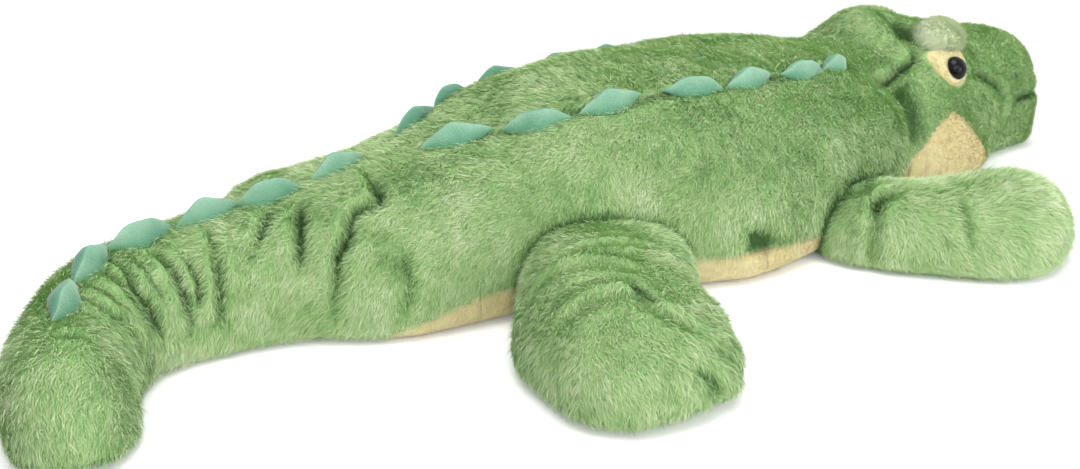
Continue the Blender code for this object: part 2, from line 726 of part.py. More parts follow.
def make_head(form, start, end, hinge):
    """Head plush and throat panel round the head's stuffing, with eyes, patches and lids."""
    cavity = make_cutter(form.solid("head_cavity", start - OVERRUN, end, -PLUSH_THICKNESS))
    throat_keep = seam_cutter("throat_keep", THROAT_SEAM_SHARES, ORIGIN_TO_NECK, HEAD_LENGTH,
                              HEAD_HEIGHT, -GAP / 2)
    throat_clear = seam_cutter("throat_clear", THROAT_SEAM_SHARES, ORIGIN_TO_NECK, HEAD_LENGTH,
                               HEAD_HEIGHT, GAP / 2)
    plush = make_piece(form.solid("head_plush", start, end), GREEN)
    throat = make_piece(form.solid("throat_panel", start, end), YELLOW)
    stuffing = make_piece(form.core("head_stuffing", start, end), WHITE)
    for piece in (plush, throat, stuffing):
        cut(piece, hinge.collar, solver="MANIFOLD")
    for piece in (plush, throat):
        cut(piece, cavity, solver="MANIFOLD")
    cut(plush, throat_clear, solver="MANIFOLD")
    cut(throat, throat_keep, "INTERSECT", "MANIFOLD")
    bare = make_cutter(form.solid("head_bare", start, end, GAP))
    padded = make_cutter(form.solid("head_padded", start, end, GAP + PATCH_THICKNESS))
    for side, side_name in ((1, "left"), (-1, "right")):
        make_eye(form, side, side_name, plush, stuffing, bare, padded)


def ahead_of(hinge):
    """Where a carrier that lies ahead of its hinge ends, and where a moving round end begins."""
    return hinge.along + HINGE_SETBACK_SHARE * hinge.radius, hinge.along + hinge.radius + OVERRUN / 2


def behind(hinge):
    """The same two places for a carrier that lies behind its hinge."""
    return hinge.along - HINGE_SETBACK_SHARE * hinge.radius, hinge.along - hinge.radius - OVERRUN / 2


clear_scene()
PIECES = new_collection("plush_crocodile")
CUTTERS = new_collection("cutters")
UPRIGHT = Vector((0.0, 0.0, 1.0))
ACROSS = Vector((0.0, 1.0, 0.0))
trunk = trunk_form()
first, second, third = [
    Hinge(f"tail_hinge_{number}", trunk, -RUMP_TO_ORIGIN - share * TAIL_LENGTH, UPRIGHT, 1.0)
    for number, share in enumerate(TAIL_HINGE_SHARES)]
neck_hinge = Hinge("neck_hinge", trunk, ORIGIN_TO_NECK, UPRIGHT, -1.0, NECK_OVERSIZE_SHARE)
head_hinge = Hinge("head_hinge", trunk, ORIGIN_TO_NECK + HEAD_LIFT_SHARE * HEAD_LENGTH, ACROSS, -1.0)

plush_and_stuffing("tail_tip", trunk, trunk.knots[0], ahead_of(third)[1], [third.collar], GREEN)
plush_and_stuffing("tail_middle", trunk, ahead_of(third)[0], ahead_of(second)[1],
                   [third.socket, second.collar], GREEN)
plush_and_stuffing("tail_root", trunk, ahead_of(second)[0], ahead_of(first)[1],
                   [second.socket, first.collar], GREEN)
plush_and_stuffing("neck", trunk, behind(neck_hinge)[1], behind(head_hinge)[0],
                   [neck_hinge.collar, head_hinge.socket], GREEN, "MANIFOLD")
make_head(trunk, behind(head_hinge)[1], trunk.knots[-1], head_hinge)

torso_start = ahead_of(first)[0]
torso_end = behind(neck_hinge)[0]
torso_wall = make_cutter(trunk.solid("torso_wall", torso_start, torso_end, GAP))
leg_sockets = []
for side_sign, side_word, hind_height, hind_lay, hind_swing in (
        (1, "left", HIND_LEFT_HEIGHT, HIND_LEFT_LAY, HIND_LEFT_SWING),
        (-1, "right", HIND_RIGHT_HEIGHT, 0.0, HIND_RIGHT_SWING)):
    leg_sockets.append(make_leg(
        "hind_leg_" + side_word, side_sign, HIND_HIP_ALONG, HIND_HIP_OUT, HIND_REACH, HIND_HALF_WIDTH,
        hind_height, HIND_ROOT_RADIUS, HIND_SHARES, hind_lay, hind_swing, -1, torso_wall))
    leg_sockets.append(make_leg(
        "foreleg_" + side_word, side_sign, FORE_HIP_ALONG, FORE_HIP_OUT, FORE_REACH, FORE_HALF_WIDTH,
        FORE_HEIGHT, FORE_ROOT_RADIUS, FORE_SHARES, 0.0, FORE_SWING, 1, torso_wall))
make_torso(trunk, torso_start, torso_end, [first.socket, neck_hinge.socket, *leg_sockets])
make_spikes(trunk)
bpy.context.view_layer.update()
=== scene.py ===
"""Plush crocodile on a pale floor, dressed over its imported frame.

Metres, +X towards the head, +Y the crocodile's left, +Z up, as in the frame.
"""
import math

import bmesh
import bpy
import numpy as np
from mathutils import Matrix, Vector, noise
from mathutils.kdtree import KDTree


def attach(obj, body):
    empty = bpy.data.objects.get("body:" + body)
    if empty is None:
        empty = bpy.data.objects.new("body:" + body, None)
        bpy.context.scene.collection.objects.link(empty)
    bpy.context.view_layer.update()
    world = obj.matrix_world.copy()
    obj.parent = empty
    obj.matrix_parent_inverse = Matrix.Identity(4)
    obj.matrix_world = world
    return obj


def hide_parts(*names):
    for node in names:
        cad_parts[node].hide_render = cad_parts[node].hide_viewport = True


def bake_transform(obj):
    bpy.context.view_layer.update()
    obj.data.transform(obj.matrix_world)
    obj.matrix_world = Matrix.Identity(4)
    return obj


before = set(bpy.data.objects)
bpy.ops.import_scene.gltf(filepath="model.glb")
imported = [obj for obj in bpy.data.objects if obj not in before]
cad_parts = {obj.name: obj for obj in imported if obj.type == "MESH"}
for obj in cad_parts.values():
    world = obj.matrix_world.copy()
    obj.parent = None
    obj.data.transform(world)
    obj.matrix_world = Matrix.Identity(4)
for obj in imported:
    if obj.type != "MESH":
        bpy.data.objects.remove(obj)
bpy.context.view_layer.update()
scene = bpy.context.scene
scene.view_settings.view_transform = "Standard"


# The camera looks down on the crocodile's right side from behind its shoulder,
# with the lens and distance that give the photograph's narrow rise of the back.
camera_place = Vector((-0.3976, -0.5359, 0.2463))
camera_target = Vector((0.0, 0.0114, 0.0))
camera_data = bpy.data.cameras.new("camera")
camera_data.lens = 39.45
camera_data.sensor_width = 36.0
camera_data.clip_start = 0.01
camera = bpy.data.objects.new("camera", camera_data)
camera.matrix_world = (Matrix.Translation(camera_place)
                       @ (camera_target - camera_place).to_track_quat("-Z", "Y").to_matrix().to_4x4())
scene.collection.objects.link(camera)
scene.camera = camera


# The table is a wide white sheet under a large soft overhead lamp, with a front, a back and a
# low lamp, and a small one that glints in the eyes. Materials are small expressions on sockets.
class Value:
    """A shader socket that adds Math nodes when it is used in an expression."""

    def __init__(self, tree, socket):
        self.tree = tree
        self.socket = socket

    def maths(self, operation, *others):
        node = self.tree.nodes.new("ShaderNodeMath")
        node.operation = operation
        for index, other in enumerate((self, *others)):
            if isinstance(other, Value):
                self.tree.links.new(other.socket, node.inputs[index])
            else:
                node.inputs[index].default_value = other
        return Value(self.tree, node.outputs[0])

    def __add__(self, other):
        return self.maths("ADD", other)

    def __mul__(self, other):
        return self.maths("MULTIPLY", other)

    def __sub__(self, other):
        return self.maths("SUBTRACT", other)

    def __radd__(self, other):
        return self.maths("ADD", other)

    def __rmul__(self, other):
        return self.maths("MULTIPLY", other)

    def __rsub__(self, other):
        node = self.tree.nodes.new("ShaderNodeValue")
        node.outputs[0].default_value = other
        return Value(self.tree, node.outputs[0]).maths("SUBTRACT", self)

    def clamped(self):
        node = self.tree.nodes.new("ShaderNodeClamp")
        self.tree.links.new(self.socket, node.inputs[0])
        return Value(self.tree, node.outputs[0])


class Finish:
    """A material under construction, with one shader and the nodes that feed it."""

    def __init__(self, name, roughness, **sockets):
        self.material = bpy.data.materials.new(name)
        self.material.use_nodes = True
        self.tree = self.material.node_tree
        self.shader = self.tree.nodes["Principled BSDF"]
        self.shader.inputs["Roughness"].default_value = roughness
        for socket, value in sockets.items():
            self.shader.inputs[socket.replace("_", " ")].default_value = value

    def node(self, kind, settings=None, stops=None, output=0, **sockets):
        node = self.tree.nodes.new(kind)
        for name, value in (settings or {}).items():
            setattr(node, name, value)
        if stops:
            ramp = node.color_ramp
            while len(ramp.elements) < len(stops):
                ramp.elements.new(0.5)
            for element, (place, colour) in zip(ramp.elements, stops):
                element.position = place
                element.color = (*colour, 1.0)
        for name, value in sockets.items():
            numbered = name[0] == "i" and name[1:].isdigit()
            socket = node.inputs[int(name[1:]) if numbered else name]
            if isinstance(value, Value):
                self.tree.links.new(value.socket, socket)
            else:
                socket.default_value = value
        return Value(self.tree, node.outputs[output])

    def place(self):
        """Object coordinates."""
        return self.node("ShaderNodeTexCoord", output=3)

    def pile_map(self):
        """A pile's own map: tone across, root to tip up."""
        uv = self.node("ShaderNodeUVMap", {"uv_map": "OFBake"})
        split = self.tree.nodes.new("ShaderNodeSeparateXYZ")
        self.tree.links.new(uv.socket, split.inputs[0])
        return Value(self.tree, split.outputs[0]), Value(self.tree, split.outputs[1])

    def noise(self, place, scale, detail=2.0, roughness=0.5):
        return self.node("ShaderNodeTexNoise", Vector=place, Scale=scale, Detail=detail,
                         Roughness=roughness)

    def ramp(self, factor, stops):
        return self.node("ShaderNodeValToRGB", stops=stops, Fac=factor)

    def mix(self, factor, first, second):
        return self.node("ShaderNodeMix", {"data_type": "RGBA"}, output=2, i0=factor, i6=first, i7=second)

    def bump(self, height, strength, distance):
        return self.node("ShaderNodeBump", Height=height, Strength=strength, Distance=distance)

    def feed(self, socket, value):
        self.tree.links.new(value.socket, self.shader.inputs[socket])


def srgb(red, green, blue):
    """Linear colour of an 8-bit screen colour."""
    return tuple((c / 255 / 12.92) if c / 255 <= 0.04045 else ((c / 255 + 0.055) / 1.055) ** 2.4
                 for c in (red, green, blue))


def lamp(name, place, aim, size, power):
    data = bpy.data.lights.new(name, "AREA")
    data.shape = "DISK"
    data.size = size
    data.energy = power
    light = bpy.data.objects.new(name, data)
    place = Vector(place)
    light.matrix_world = (Matrix.Translation(place)
                          @ (Vector(aim) - place).to_track_quat("-Z", "Y").to_matrix().to_4x4())
    scene.collection.objects.link(light)


lamp("overhead_lamp", (-0.2, -0.2, 1.9), (0.0, 0.0, 0.0), 1.6, 27.0)
lamp("front_lamp", (-0.9, -1.5, 1.0), (0.0, 0.0, 0.05), 1.4, 13.5)
lamp("back_lamp", (0.9, 1.3, 1.3), (0.0, 0.0, 0.05), 1.0, 8.0)
lamp("low_lamp", (0.5, -1.3, 0.3), (0.22, 0.0, 0.03), 0.8, 4.0)
lamp("small_lamp", (0.3, -1.2, 0.9), (0.3, 0.0, 0.06), 0.16, 2.6)

world = bpy.data.worlds.new("room")
world.use_nodes = True
room_tree = world.node_tree
room_light, room_white = 0.42, 1.0
room_rays = room_tree.nodes.new("ShaderNodeLightPath")
seen, glossy, through = [Value(room_tree, room_rays.outputs[f"Is {kind} Ray"])
                         for kind in ("Camera", "Glossy", "Transmission")]
strength = seen.maths("MAXIMUM", glossy).maths("MAXIMUM", through) * (room_white - room_light) + room_light
background = room_tree.nodes["Background"]
room_tree.links.new(strength.socket, background.inputs["Strength"])
background.inputs["Color"].default_value = (1.0, 1.0, 1.0, 1.0)
scene.world = world

floor_shape = bmesh.new()
bmesh.ops.create_grid(floor_shape, x_segments=1, y_segments=1, size=8.0)
floor_mesh = bpy.data.meshes.new("floor")
floor_shape.to_mesh(floor_mesh)
floor_shape.free()
floor = bpy.data.objects.new("floor", floor_mesh)
scene.collection.objects.link(floor)
floor.location.z = -0.0006
paper = Finish("white_sheet", 0.95, Base_Color=(0.92, 0.92, 0.92, 1.0), Specular_IOR_Level=0.0)
paper_rays = paper.tree.nodes.new("ShaderNodeLightPath")
paper_seen = Value(paper.tree, paper_rays.outputs["Is Camera Ray"])
glow = paper.node("ShaderNodeEmission", Color=(1.0, 1.0, 1.0, 1.0), Strength=paper_seen * 0.16)
lit = paper.node("ShaderNodeAddShader", i0=Value(paper.tree, paper.shader.outputs[0]), i1=glow)
paper.tree.links.new(lit.socket, paper.tree.nodes["Material Output"].inputs["Surface"])
floor.data.materials.append(paper.material)


# The trunk runs from the tail's tip to the muzzle: plush sewn from a back gusset, two flanks
# and a belly panel, turned and stuffed with fibre, so that it swells, slumps and folds.
class SoftForm:
    """A stuffed tube along a path on the floor, rounded off at its closed ends.

    Rows hold x, y, half width, top, bottom, squareness of the upper half, share of the height at
    which the widest line runs, and how far the left side sags.
    """

    def __init__(self, rows, start_round, end_round, lower_squareness):
        self.rows = np.array(rows, dtype=float)
        steps = np.linalg.norm(np.diff(self.rows[:, :2], axis=0), axis=1)
        self.knots = np.concatenate([[0.0], np.cumsum(steps)])
        self.start_round = start_round
        self.end_round = end_round
        self.lower_squareness = lower_squareness

    def at(self, along):
        knots = self.knots
        slopes = np.gradient(self.rows, knots, axis=0)
        index = int(np.clip(np.searchsorted(knots, along) - 1, 0, len(knots) - 2))
        step = knots[index + 1] - knots[index]
        share = (along - knots[index]) / step
        return ((1 + 2 * share) * (1 - share) ** 2 * self.rows[index]
                + share * (1 - share) ** 2 * step * slopes[index]
                + share ** 2 * (3 - 2 * share) * self.rows[index + 1]
                + share ** 2 * (share - 1) * step * slopes[index + 1])

    def heading(self, along):
        place = min(max(along, self.knots[0] + 0.001), self.knots[-1] - 0.001)
        ahead = self.at(place + 0.001)[:2] - self.at(place - 0.001)[:2]
        return ahead / np.linalg.norm(ahead)

    def section(self, along, angles):
        """Sideways and height coordinates at angles from the top."""
        half_width, top, bottom, squareness, widest, sag = self.at(along)[2:]
        share = 1.0
        for distance, length in ((along - self.knots[0], self.start_round),
                                 (self.knots[-1] - along, self.end_round)):
            if distance < length:
                share *= math.sqrt(max(1.0 - ((length - distance) / length) ** 2, 0.0))
        middle = bottom + widest * (top - bottom)
        sine, cosine = np.sin(angles), np.cos(angles)
        power = np.where(cosine >= 0, 2 / squareness, 2 / self.lower_squareness)
        rise = np.where(cosine >= 0, top - middle, middle - bottom)
        sideways = half_width * share * np.sign(sine) * np.abs(sine) ** power
        height = middle + rise * share * np.sign(cosine) * np.abs(cosine) ** power
        left = np.maximum(sideways, 0.0) / half_width
        height = height - sag * left ** 2 * np.maximum(height - middle, 0.0)
        return sideways, height

    def even_angles(self, along, count):
        fine = np.linspace(0.0, 2 * math.pi, 721)
        full = min(max(along, self.knots[0] + self.start_round), self.knots[-1] - self.end_round)
        sideways, height = self.section(full, fine)
        walked = np.concatenate([[0.0], np.cumsum(np.hypot(np.diff(sideways), np.diff(height)))])
        return np.interp(np.linspace(0.0, walked[-1], count + 1), walked, fine)

    def points(self, along, angles):
        sideways, height = self.section(along, angles)
        x, y = self.at(along)[:2]
        ahead = self.heading(along)
        return np.stack([x - ahead[1] * sideways, y + ahead[0] * sideways, height], axis=-1)

    def ring_places(self, spacing, fine_end=-1.0, fine_spacing=0.0018):
        """Even places along the form, finer up to one place, drawn together over its rounded ends."""
        first = self.knots[0] + self.start_round
        last = self.knots[-1] - self.end_round
        places = [first]
        while places[-1] < last - spacing:
            places.append(places[-1] + (fine_spacing if places[-1] < fine_end else spacing))
        places.append(last)
        for length, end, way in ((self.start_round, self.knots[0], 1),
                                 (self.end_round, self.knots[-1], -1)):
            steps = max(int(length * 1.6 / spacing), 5)
            turns = [end + way * length * (1 - math.cos(math.radians(90 * k / steps))) for k in range(steps)]
            places = turns + places if way > 0 else places + turns[::-1]
        places[0] += 1e-5
        places[-1] -= 1e-5
        return np.array(places)

    def grid(self, places, sides):
        """Points of every ring, the first repeated at the end of its ring."""
        return np.array([self.points(along, self.even_angles(along, sides)) for along in places])


rump_x, neck_x = -0.157, 0.235
torso_half_width, torso_height = 0.114, 0.107
tail_length, tail_half_width, tail_height = 0.212, 0.052, 0.0635
head_length, head_half_width, head_height = 0.21, 0.06, 0.098
trunk_rows = []
for back, side, width, height in (
        (0.693, 0.51, 0.46, 0.709), (0.675, 0.354, 0.48, 0.72), (0.63, 0.222, 0.512, 0.74),
        (0.538, 0.085, 0.58, 0.787), (0.401, 0.014, 0.67, 0.835), (0.25, 0.0, 0.77, 0.882),
        (0.09, 0.0, 0.885, 0.945)):
    trunk_rows.append((rump_x - back * tail_length, -side * tail_length, width * tail_half_width,
                       height * tail_height, 0.0, 2.2, 0.17, 0.0))
for along, width, height, sag in (
        (0.0, 0.47, 0.593, 0.0), (0.145, 0.66, 0.7, 0.05), (0.247, 0.77, 0.8, 0.15),
        (0.349, 0.86, 0.925, 0.28), (0.477, 0.956, 0.985, 0.3), (0.605, 1.0, 0.995, 0.3),
        (0.732, 0.99, 0.985, 0.28), (0.834, 0.93, 0.95, 0.2), (0.911, 0.79, 0.905, 0.1),
        (0.962, 0.64, 0.86, 0.05)):
    trunk_rows.append((rump_x + along * (neck_x - rump_x), 0.0, width * torso_half_width,
                       height * torso_height, 0.0, 2.2, 0.17, sag))
for along, width, height, clear in (
        (0.0, 1.0, 0.9, 0.08), (0.12, 1.08, 0.9, 0.08), (0.24, 1.11, 0.96, 0.05),
        (0.343, 1.07, 1.0, 0.0), (0.45, 1.0, 0.96, 0.0), (0.6, 0.86, 0.87, 0.0),
        (0.76, 0.8, 0.83, 0.0), (1.0, 0.78, 0.79, 0.0)):
    trunk_rows.append((neck_x + along * head_length, 0.0, width * head_half_width,
                       height * head_height, clear * head_height, 2.7, 0.3, 0.0))
trunk = SoftForm(trunk_rows, 0.03, 0.034, 7.0)
trunk.knots += trunk_rows[-1][0] - trunk.knots[-1]
gusset_seam = np.array([(0.107, 0.01), (0.202, 0.184), (0.296, 0.368), (0.4, 0.465), (0.536, 0.535),
                        (0.64, 0.553), (0.75, 0.544), (0.852, 0.475), (1.0, 0.35)])
gusset_seam *= (neck_x - rump_x, torso_half_width)
gusset_seam[:, 0] += rump_x


def seam_angle(along, side):
    """Angle from the top at which the back gusset's seam runs, or nought for the tail's centre seam."""
    fine = np.linspace(0.0, math.pi / 2, 361)
    sideways, _ = trunk.section(along, fine)
    return side * float(np.interp(np.interp(along, *gusset_seam.T), sideways, fine))


def smooth_noise(points, scale, seed):
    """Soft noise from -1 to 1 at points."""
    shift = Vector((seed * 3.1, seed * 1.7, seed * 2.3))
    return np.array([noise.noise(Vector(point) * scale + shift) for point in points])


def press_folds(points, folds):
    """How deep the folds press each point in, and how near it is to one, from 0 to 1.

    A fold is (half width, depth, [points]); it fades out over its last stretch at both ends.
    """
    depth_here, nearness = np.zeros(len(points)), np.zeros(len(points))
    darkest_depth = 0.0045
    for half_width, depth, line in folds:
        line = np.array(line, dtype=float)
        lengths = np.linalg.norm(np.diff(line, axis=0), axis=1)
        walked = np.concatenate([[0.0], np.cumsum(lengths)])
        low, high = line.min(axis=0) - 4 * half_width, line.max(axis=0) + 4 * half_width
        near = np.where(np.all((points > low) & (points < high), axis=1))[0]
        if not len(near):
            continue
        here = points[near]
        best = np.full(len(near), 1e9)
        place = np.zeros(len(near))
        for index, (start, end) in enumerate(zip(line, line[1:])):
            way = end - start
            share = np.clip(((here - start) @ way) / max(way @ way, 1e-12), 0.0, 1.0)
            gap = np.linalg.norm(here - start - share[:, None] * way, axis=1)
            closer = gap < best
            best = np.where(closer, gap, best)
            place = np.where(closer, walked[index] + share * lengths[index], place)
        fade = np.clip(np.minimum(place, walked[-1] - place) / (0.3 * walked[-1]), 0.0, 1.0)
        fade = 0.25 + 0.75 * fade * (2 - fade)
        groove = np.exp(-(best / half_width) ** 2)
        swell = np.exp(-((best - 2.4 * half_width) / (1.3 * half_width)) ** 2)
        depth_here[near] += depth * fade * (groove - 0.25 * swell)
        # The nearness, weighted by depth, is how much painted shade the crease gets.
        nearness[near] = np.maximum(nearness[near], min(depth / darkest_depth, 1.0) * fade * groove)
    return depth_here, nearness


def tree_of(points):
    """A search tree over points, kept in their order."""
    tree = KDTree(len(points))
    for index, point in enumerate(points):
        tree.insert(point, index)
    tree.balance()
    return tree


class Cloth:
    """A grid of points with the outward normals, painted shade of its folds and mottling that pile grows by.
    """

    def __init__(self, points, normals, crease_shade=0.0, seed=1):
        flat = points.reshape(-1, 3)
        shape = points.shape[:2]
        self.points = points
        self.normals = normals
        self.crease_shade = np.zeros(shape) + crease_shade
        self.hidden = np.zeros(shape)
        self.mottle = (0.6 * smooth_noise(flat, 34.0, seed + 5)
                       + 0.5 * smooth_noise(flat, 90.0, seed + 7)).reshape(shape)
        self.swirl = (0.7 * smooth_noise(flat, 26.0, seed + 9)
                      + 0.4 * smooth_noise(flat, 75.0, seed + 11)).reshape(shape)


class Skin(Cloth):
    """The closed cloth over a form, with its folds pressed in and its swells pushed out.

    A swell is (x, y, z, radius, height).
    """

    def __init__(self, form, spacing, sides, folds, swells, lumps, lump_scale, fine_end=-1.0, seed=1):
        self.places = form.ring_places(spacing, fine_end)
        points = form.grid(self.places, sides)
        normals = self.outward(points)
        flat = points.reshape(-1, 3)
        rise = smooth_noise(flat, lump_scale, seed) * lumps
        for x, y, z, radius, height in swells:
            gap = np.linalg.norm(flat - (x, y, z), axis=1)
            rise += height * np.exp(-(gap / radius) ** 2)
        tree = tree_of(flat)
        sides_out = normals.reshape(-1, 3)
        on_form = []
        for half_width, fold_depth, line in folds:
            nearest = [tree.find(point)[1] for point in line]
            on_form.append((half_width, fold_depth, [
                point - sides_out[index] * ((np.array(point) - flat[index]) @ sides_out[index])
                for point, index in zip(line, nearest)]))
        depth, nearness = press_folds(flat, on_form)
        shift = sides_out * (rise - depth)[:, None]
        flat_sole = 0.012
        shift[:, 2] *= np.clip(flat[:, 2] / flat_sole, 0.0, 1.0)
        flat = flat + shift
        flat[:, 2] = np.maximum(flat[:, 2], 0.0)
        points = flat.reshape(points.shape)
        points[:, -1] = points[:, 0]
        super().__init__(points, self.outward(points), nearness.reshape(points.shape[:2]), seed)

    def outward(self, points):
        around = np.gradient(points, axis=1)
        around[:, 0] = around[:, -1] = (points[:, 1] - points[:, -2]) / 2
        normals = np.cross(around, np.gradient(points, axis=0))
        normals /= np.maximum(np.linalg.norm(normals, axis=-1, keepdims=True), 1e-12)
        centre = points.mean(axis=1, keepdims=True)
        return normals if np.sum(normals * (points - centre)) > 0 else -normals

    def ring_at(self, along):
        return int(np.argmin(np.abs(self.places - along)))

    def press_against(self, other, shade):
        """Shade the cloth where it meets another skin, and bare what lies inside it."""
        flat, normals = other.points.reshape(-1, 3), other.normals.reshape(-1, 3)
        tree = tree_of(flat)
        far, shade_reach, buried, fade_outside, fade_inside = 0.03, 0.02, 0.004, 0.0048, 0.003
        low, high = flat.min(axis=0) - shade_reach, flat.max(axis=0) + shade_reach
        for row, column in np.argwhere(np.all((self.points > low) & (self.points < high), axis=-1)):
            point = self.points[row, column]
            _, near, gap = tree.find(point)
            if gap < far:
                height = float((point - flat[near]) @ normals[near])
                self.hidden[row, column] = max(self.hidden[row, column], float(height < -buried))
            if gap < shade_reach:
                nearness = math.exp(-(height / (fade_outside if height > 0 else fade_inside)) ** 2)
                self.crease_shade[row, column] = max(self.crease_shade[row, column], nearness * shade)

    def grid_mesh(self, first, last, lift):
        """The cloth from one ring to another, merged where its edges meet."""
        shape = bmesh.new()
        columns = self.points.shape[1] - 1
        bmesh.ops.create_grid(shape, x_segments=last - first, y_segments=columns, size=1.0)
        crease_shade = shape.verts.layers.float.new("crease_shade")
        for vertex in shape.verts:
            row = first + round((vertex.co.x + 1) / 2 * (last - first))
            column = round((vertex.co.y + 1) / 2 * columns)
            vertex.co = self.points[row, column] + self.normals[row, column] * lift
            vertex[crease_shade] = self.crease_shade[row, column]
        bmesh.ops.remove_doubles(shape, verts=shape.verts, dist=2e-5)
        return shape

    def stuffed(self, name, first, last, floor_gap):
        """The rings from first to last as one closed piece."""
        shape = self.grid_mesh(first, last, 0.0)
        for vertex in shape.verts:
            vertex.co.z = max(vertex.co.z, floor_gap)
        bmesh.ops.holes_fill(shape, edges=[edge for edge in shape.edges if edge.is_boundary], sides=0)
        bmesh.ops.recalc_face_normals(shape, faces=shape.faces)
        return finish_mesh(name, shape, green_backing)


def finish_mesh(name, shape, material):
    """Link a bmesh as a smooth piece of one material."""
    mesh = bpy.data.meshes.new(name)
    shape.to_mesh(mesh)
    shape.free()
    mesh.shade_smooth()
    mesh.materials.append(material)
    piece = bpy.data.objects.new(name, mesh)
    scene.collection.objects.link(piece)
    return piece


def metres(rows):
    """Numbers written in millimetres, in metres."""
    return [metres(row) if isinstance(row, (tuple, list)) else row / 1000 for row in rows]


# Folds pressed into the trunk's plush: half width, depth, and the line that each follows, in
# millimetres. Those of the neck and head are on both sides.
trunk_folds = metres([
    (3.1, 7.1, [(-126, -12, 68), (-132, -37, 59), (-147, -35, 56), (-154, -42, 46), (-161, -45, 40),
        (-167, -49, 17)]),
    (2.7, 4.8, [(-179, -10, 58), (-187, -20, 54), (-195, -28, 48)]),
    (3, 5.7, [(-166, -17, 60), (-175, -33, 48), (-180, -40, 36)]),
    (4.5, 1.8, [(-131, -55, 44), (-132, -62, 25), (-141, -58, 9)]),
    (2.3, 6.7, [(-240, -13, 53), (-235, -26, 45), (-234, -33, 35), (-233, -36, 20)]),
    (2.2, 4.8, [(-228, -22, 47), (-226, -31, 37), (-229, -36, 27)]),
    (2.4, 6.4, [(-211, -10, 55), (-216, -30, 41), (-220, -36, 20)]),
    (2.3, 7.1, [(-260, -12, 50), (-256, -31, 43), (-251, -37, 34), (-248, -39, 18)]),
    (2.2, 6, [(-268, -22, 48), (-258, -37, 39), (-253, -41, 24)]),
    (2.3, 6.9, [(-284, -36, 47), (-273, -49, 42), (-265, -50, 34), (-261, -50, 20)]),
    (2.4, 3.4, [(-300, -74, 45), (-287, -77, 42)]),
    (2.2, 1.2, [(-244, -37, 17), (-225, -38, 19), (-206, -39, 19)]),
    (3.1, 4.4, [(96, 50, 100), (89, 31, 102), (90, -9, 106)]),
    (3.1, 4.4, [(80, -20, 105), (82, -38, 102), (89, -47, 100)]),
    (2.9, 3.9, [(123, -27, 103), (127, -47, 98)]),
    (7, 4.2, [(47, -108, 27), (56, -108, 22), (65, -108, 18)]),
    (2.7, 4, [(177, -19, 99), (168, -39, 97), (155, -62, 92)]),
])
neck_folds = metres([
    (9, 3.6, [(245, -50, 76), (249, -58, 60), (250, -64, 45), (248, -68, 32)]),
    (2.9, 8, [(200, -66, 68), (221, -52, 77), (240, -48, 73), (259, -45, 79), (273, -45, 83),
        (282, -36, 88)]),
    (6.2, 12, [(226, -48, 78), (237, -54, 67), (238, -60, 59), (237, -63, 49), (236, -66, 40)]),
    (3.4, 7.5, [(331, -52, 68), (353, -50, 59), (370, -48, 49), (375, -49, 40), (374, -50, 31)]),
    (7.5, 8, [(300, 0, 97), (294, -14, 95), (286, -30, 90)]),
    (2.6, 5.2, [(442, 0, 41), (434, -30, 41), (418, -43, 40), (392, -48, 39)]),
    (9, 5, [(350, 0, 88), (348, -26, 86), (344, -44, 74)]),
])
trunk_folds += neck_folds
trunk_folds += [(half_width, depth, [(x, -y, z) for x, y, z in line])
                for half_width, depth, line in neck_folds]
trunk_folds += [(0.005, 0.0018, [(-0.15, 0.03, 0.052), (-0.156, 0.042, 0.04), (-0.16, 0.048, 0.018)]),
                (0.005, 0.0018, [(0.02, 0.104, 0.045), (0.03, 0.11, 0.03), (0.045, 0.112, 0.018)]),
                (0.0045, 0.0018, [(0.085, 0.07, 0.084), (0.098, 0.084, 0.07), (0.104, 0.094, 0.056)])]
for side in (-1, 1):
    seam_line = [trunk.points(along, np.array([seam_angle(along, side)]))[0]
                 for along in np.linspace(-0.105, 0.232, 24)]
    trunk_folds.append((0.0026, 0.0045, seam_line))
trunk_swells = [(0.282, 0.012, 0.098, 0.029, 0.0135), (0.258, 0.008, 0.094, 0.026, 0.008),
                (0.396, 0.0, 0.078, 0.028, 0.0055), (0.446, 0.0, 0.046, 0.034, 0.0055),
                *[(x, side * y, z, radius, height) for x, y, z, radius, height in (
                    (0.288, 0.062, 0.012, 0.028, 0.013), (0.32, 0.056, 0.01, 0.022, 0.008),
                    (0.207, 0.076, 0.056, 0.028, 0.0085), (0.245, 0.06, 0.014, 0.03, 0.015),
                    (0.345, 0.056, 0.034, 0.022, 0.0025)) for side in (-1, 1)],
                (0.055, -0.113, 0.008, 0.04, 0.008), (0.055, 0.113, 0.008, 0.04, 0.005),
                (-0.145, -0.058, 0.008, 0.034, 0.011), (-0.11, -0.072, 0.008, 0.03, 0.006),
                (-0.085, -0.06, 0.05, 0.03, 0.003), (-0.196, -0.03, 0.035, 0.016, 0.002)]
trunk_skin = Skin(trunk, 0.0025, 132, trunk_folds, trunk_swells, lumps=0.0022, lump_scale=24.0,
                  fine_end=-0.11, seed=3)


# The green plush is a long light pile over roots darkened with painted shade, combed back and
# down, and gathered in small tufts by handling. The yellow plush of belly and throat is the same cloth shorn
# short.
def pile_finish(name, roots, *tones):
    """Colour of a pile: tone runs across its map, from painted shade in a hollow to a light crest, and
    painted shade darkens the roots.
    """
    finish = Finish(name, 0.9, Specular_IOR_Level=0.1, Sheen_Weight=0.15, Sheen_Roughness=0.6)
    tone, rise = finish.pile_map()
    cover = finish.ramp(tone, [(0.0, tones[0]), (0.33, tones[1]), (0.62, tones[2]), (1.0, tones[3])])
    # Painted shade at the foot of the pile: the roots darker, and near black where the tone is low.
    low = finish.ramp(tone, [(0.0, [0.28 * level for level in roots]), (0.36, roots)])
    depth = finish.ramp(rise, [(0.0, [0.0] * 3), (0.45, [0.85] * 3), (1.0, [1.0] * 3)])
    finish.feed("Base Color", finish.mix(depth, low, cover))
    return finish.material


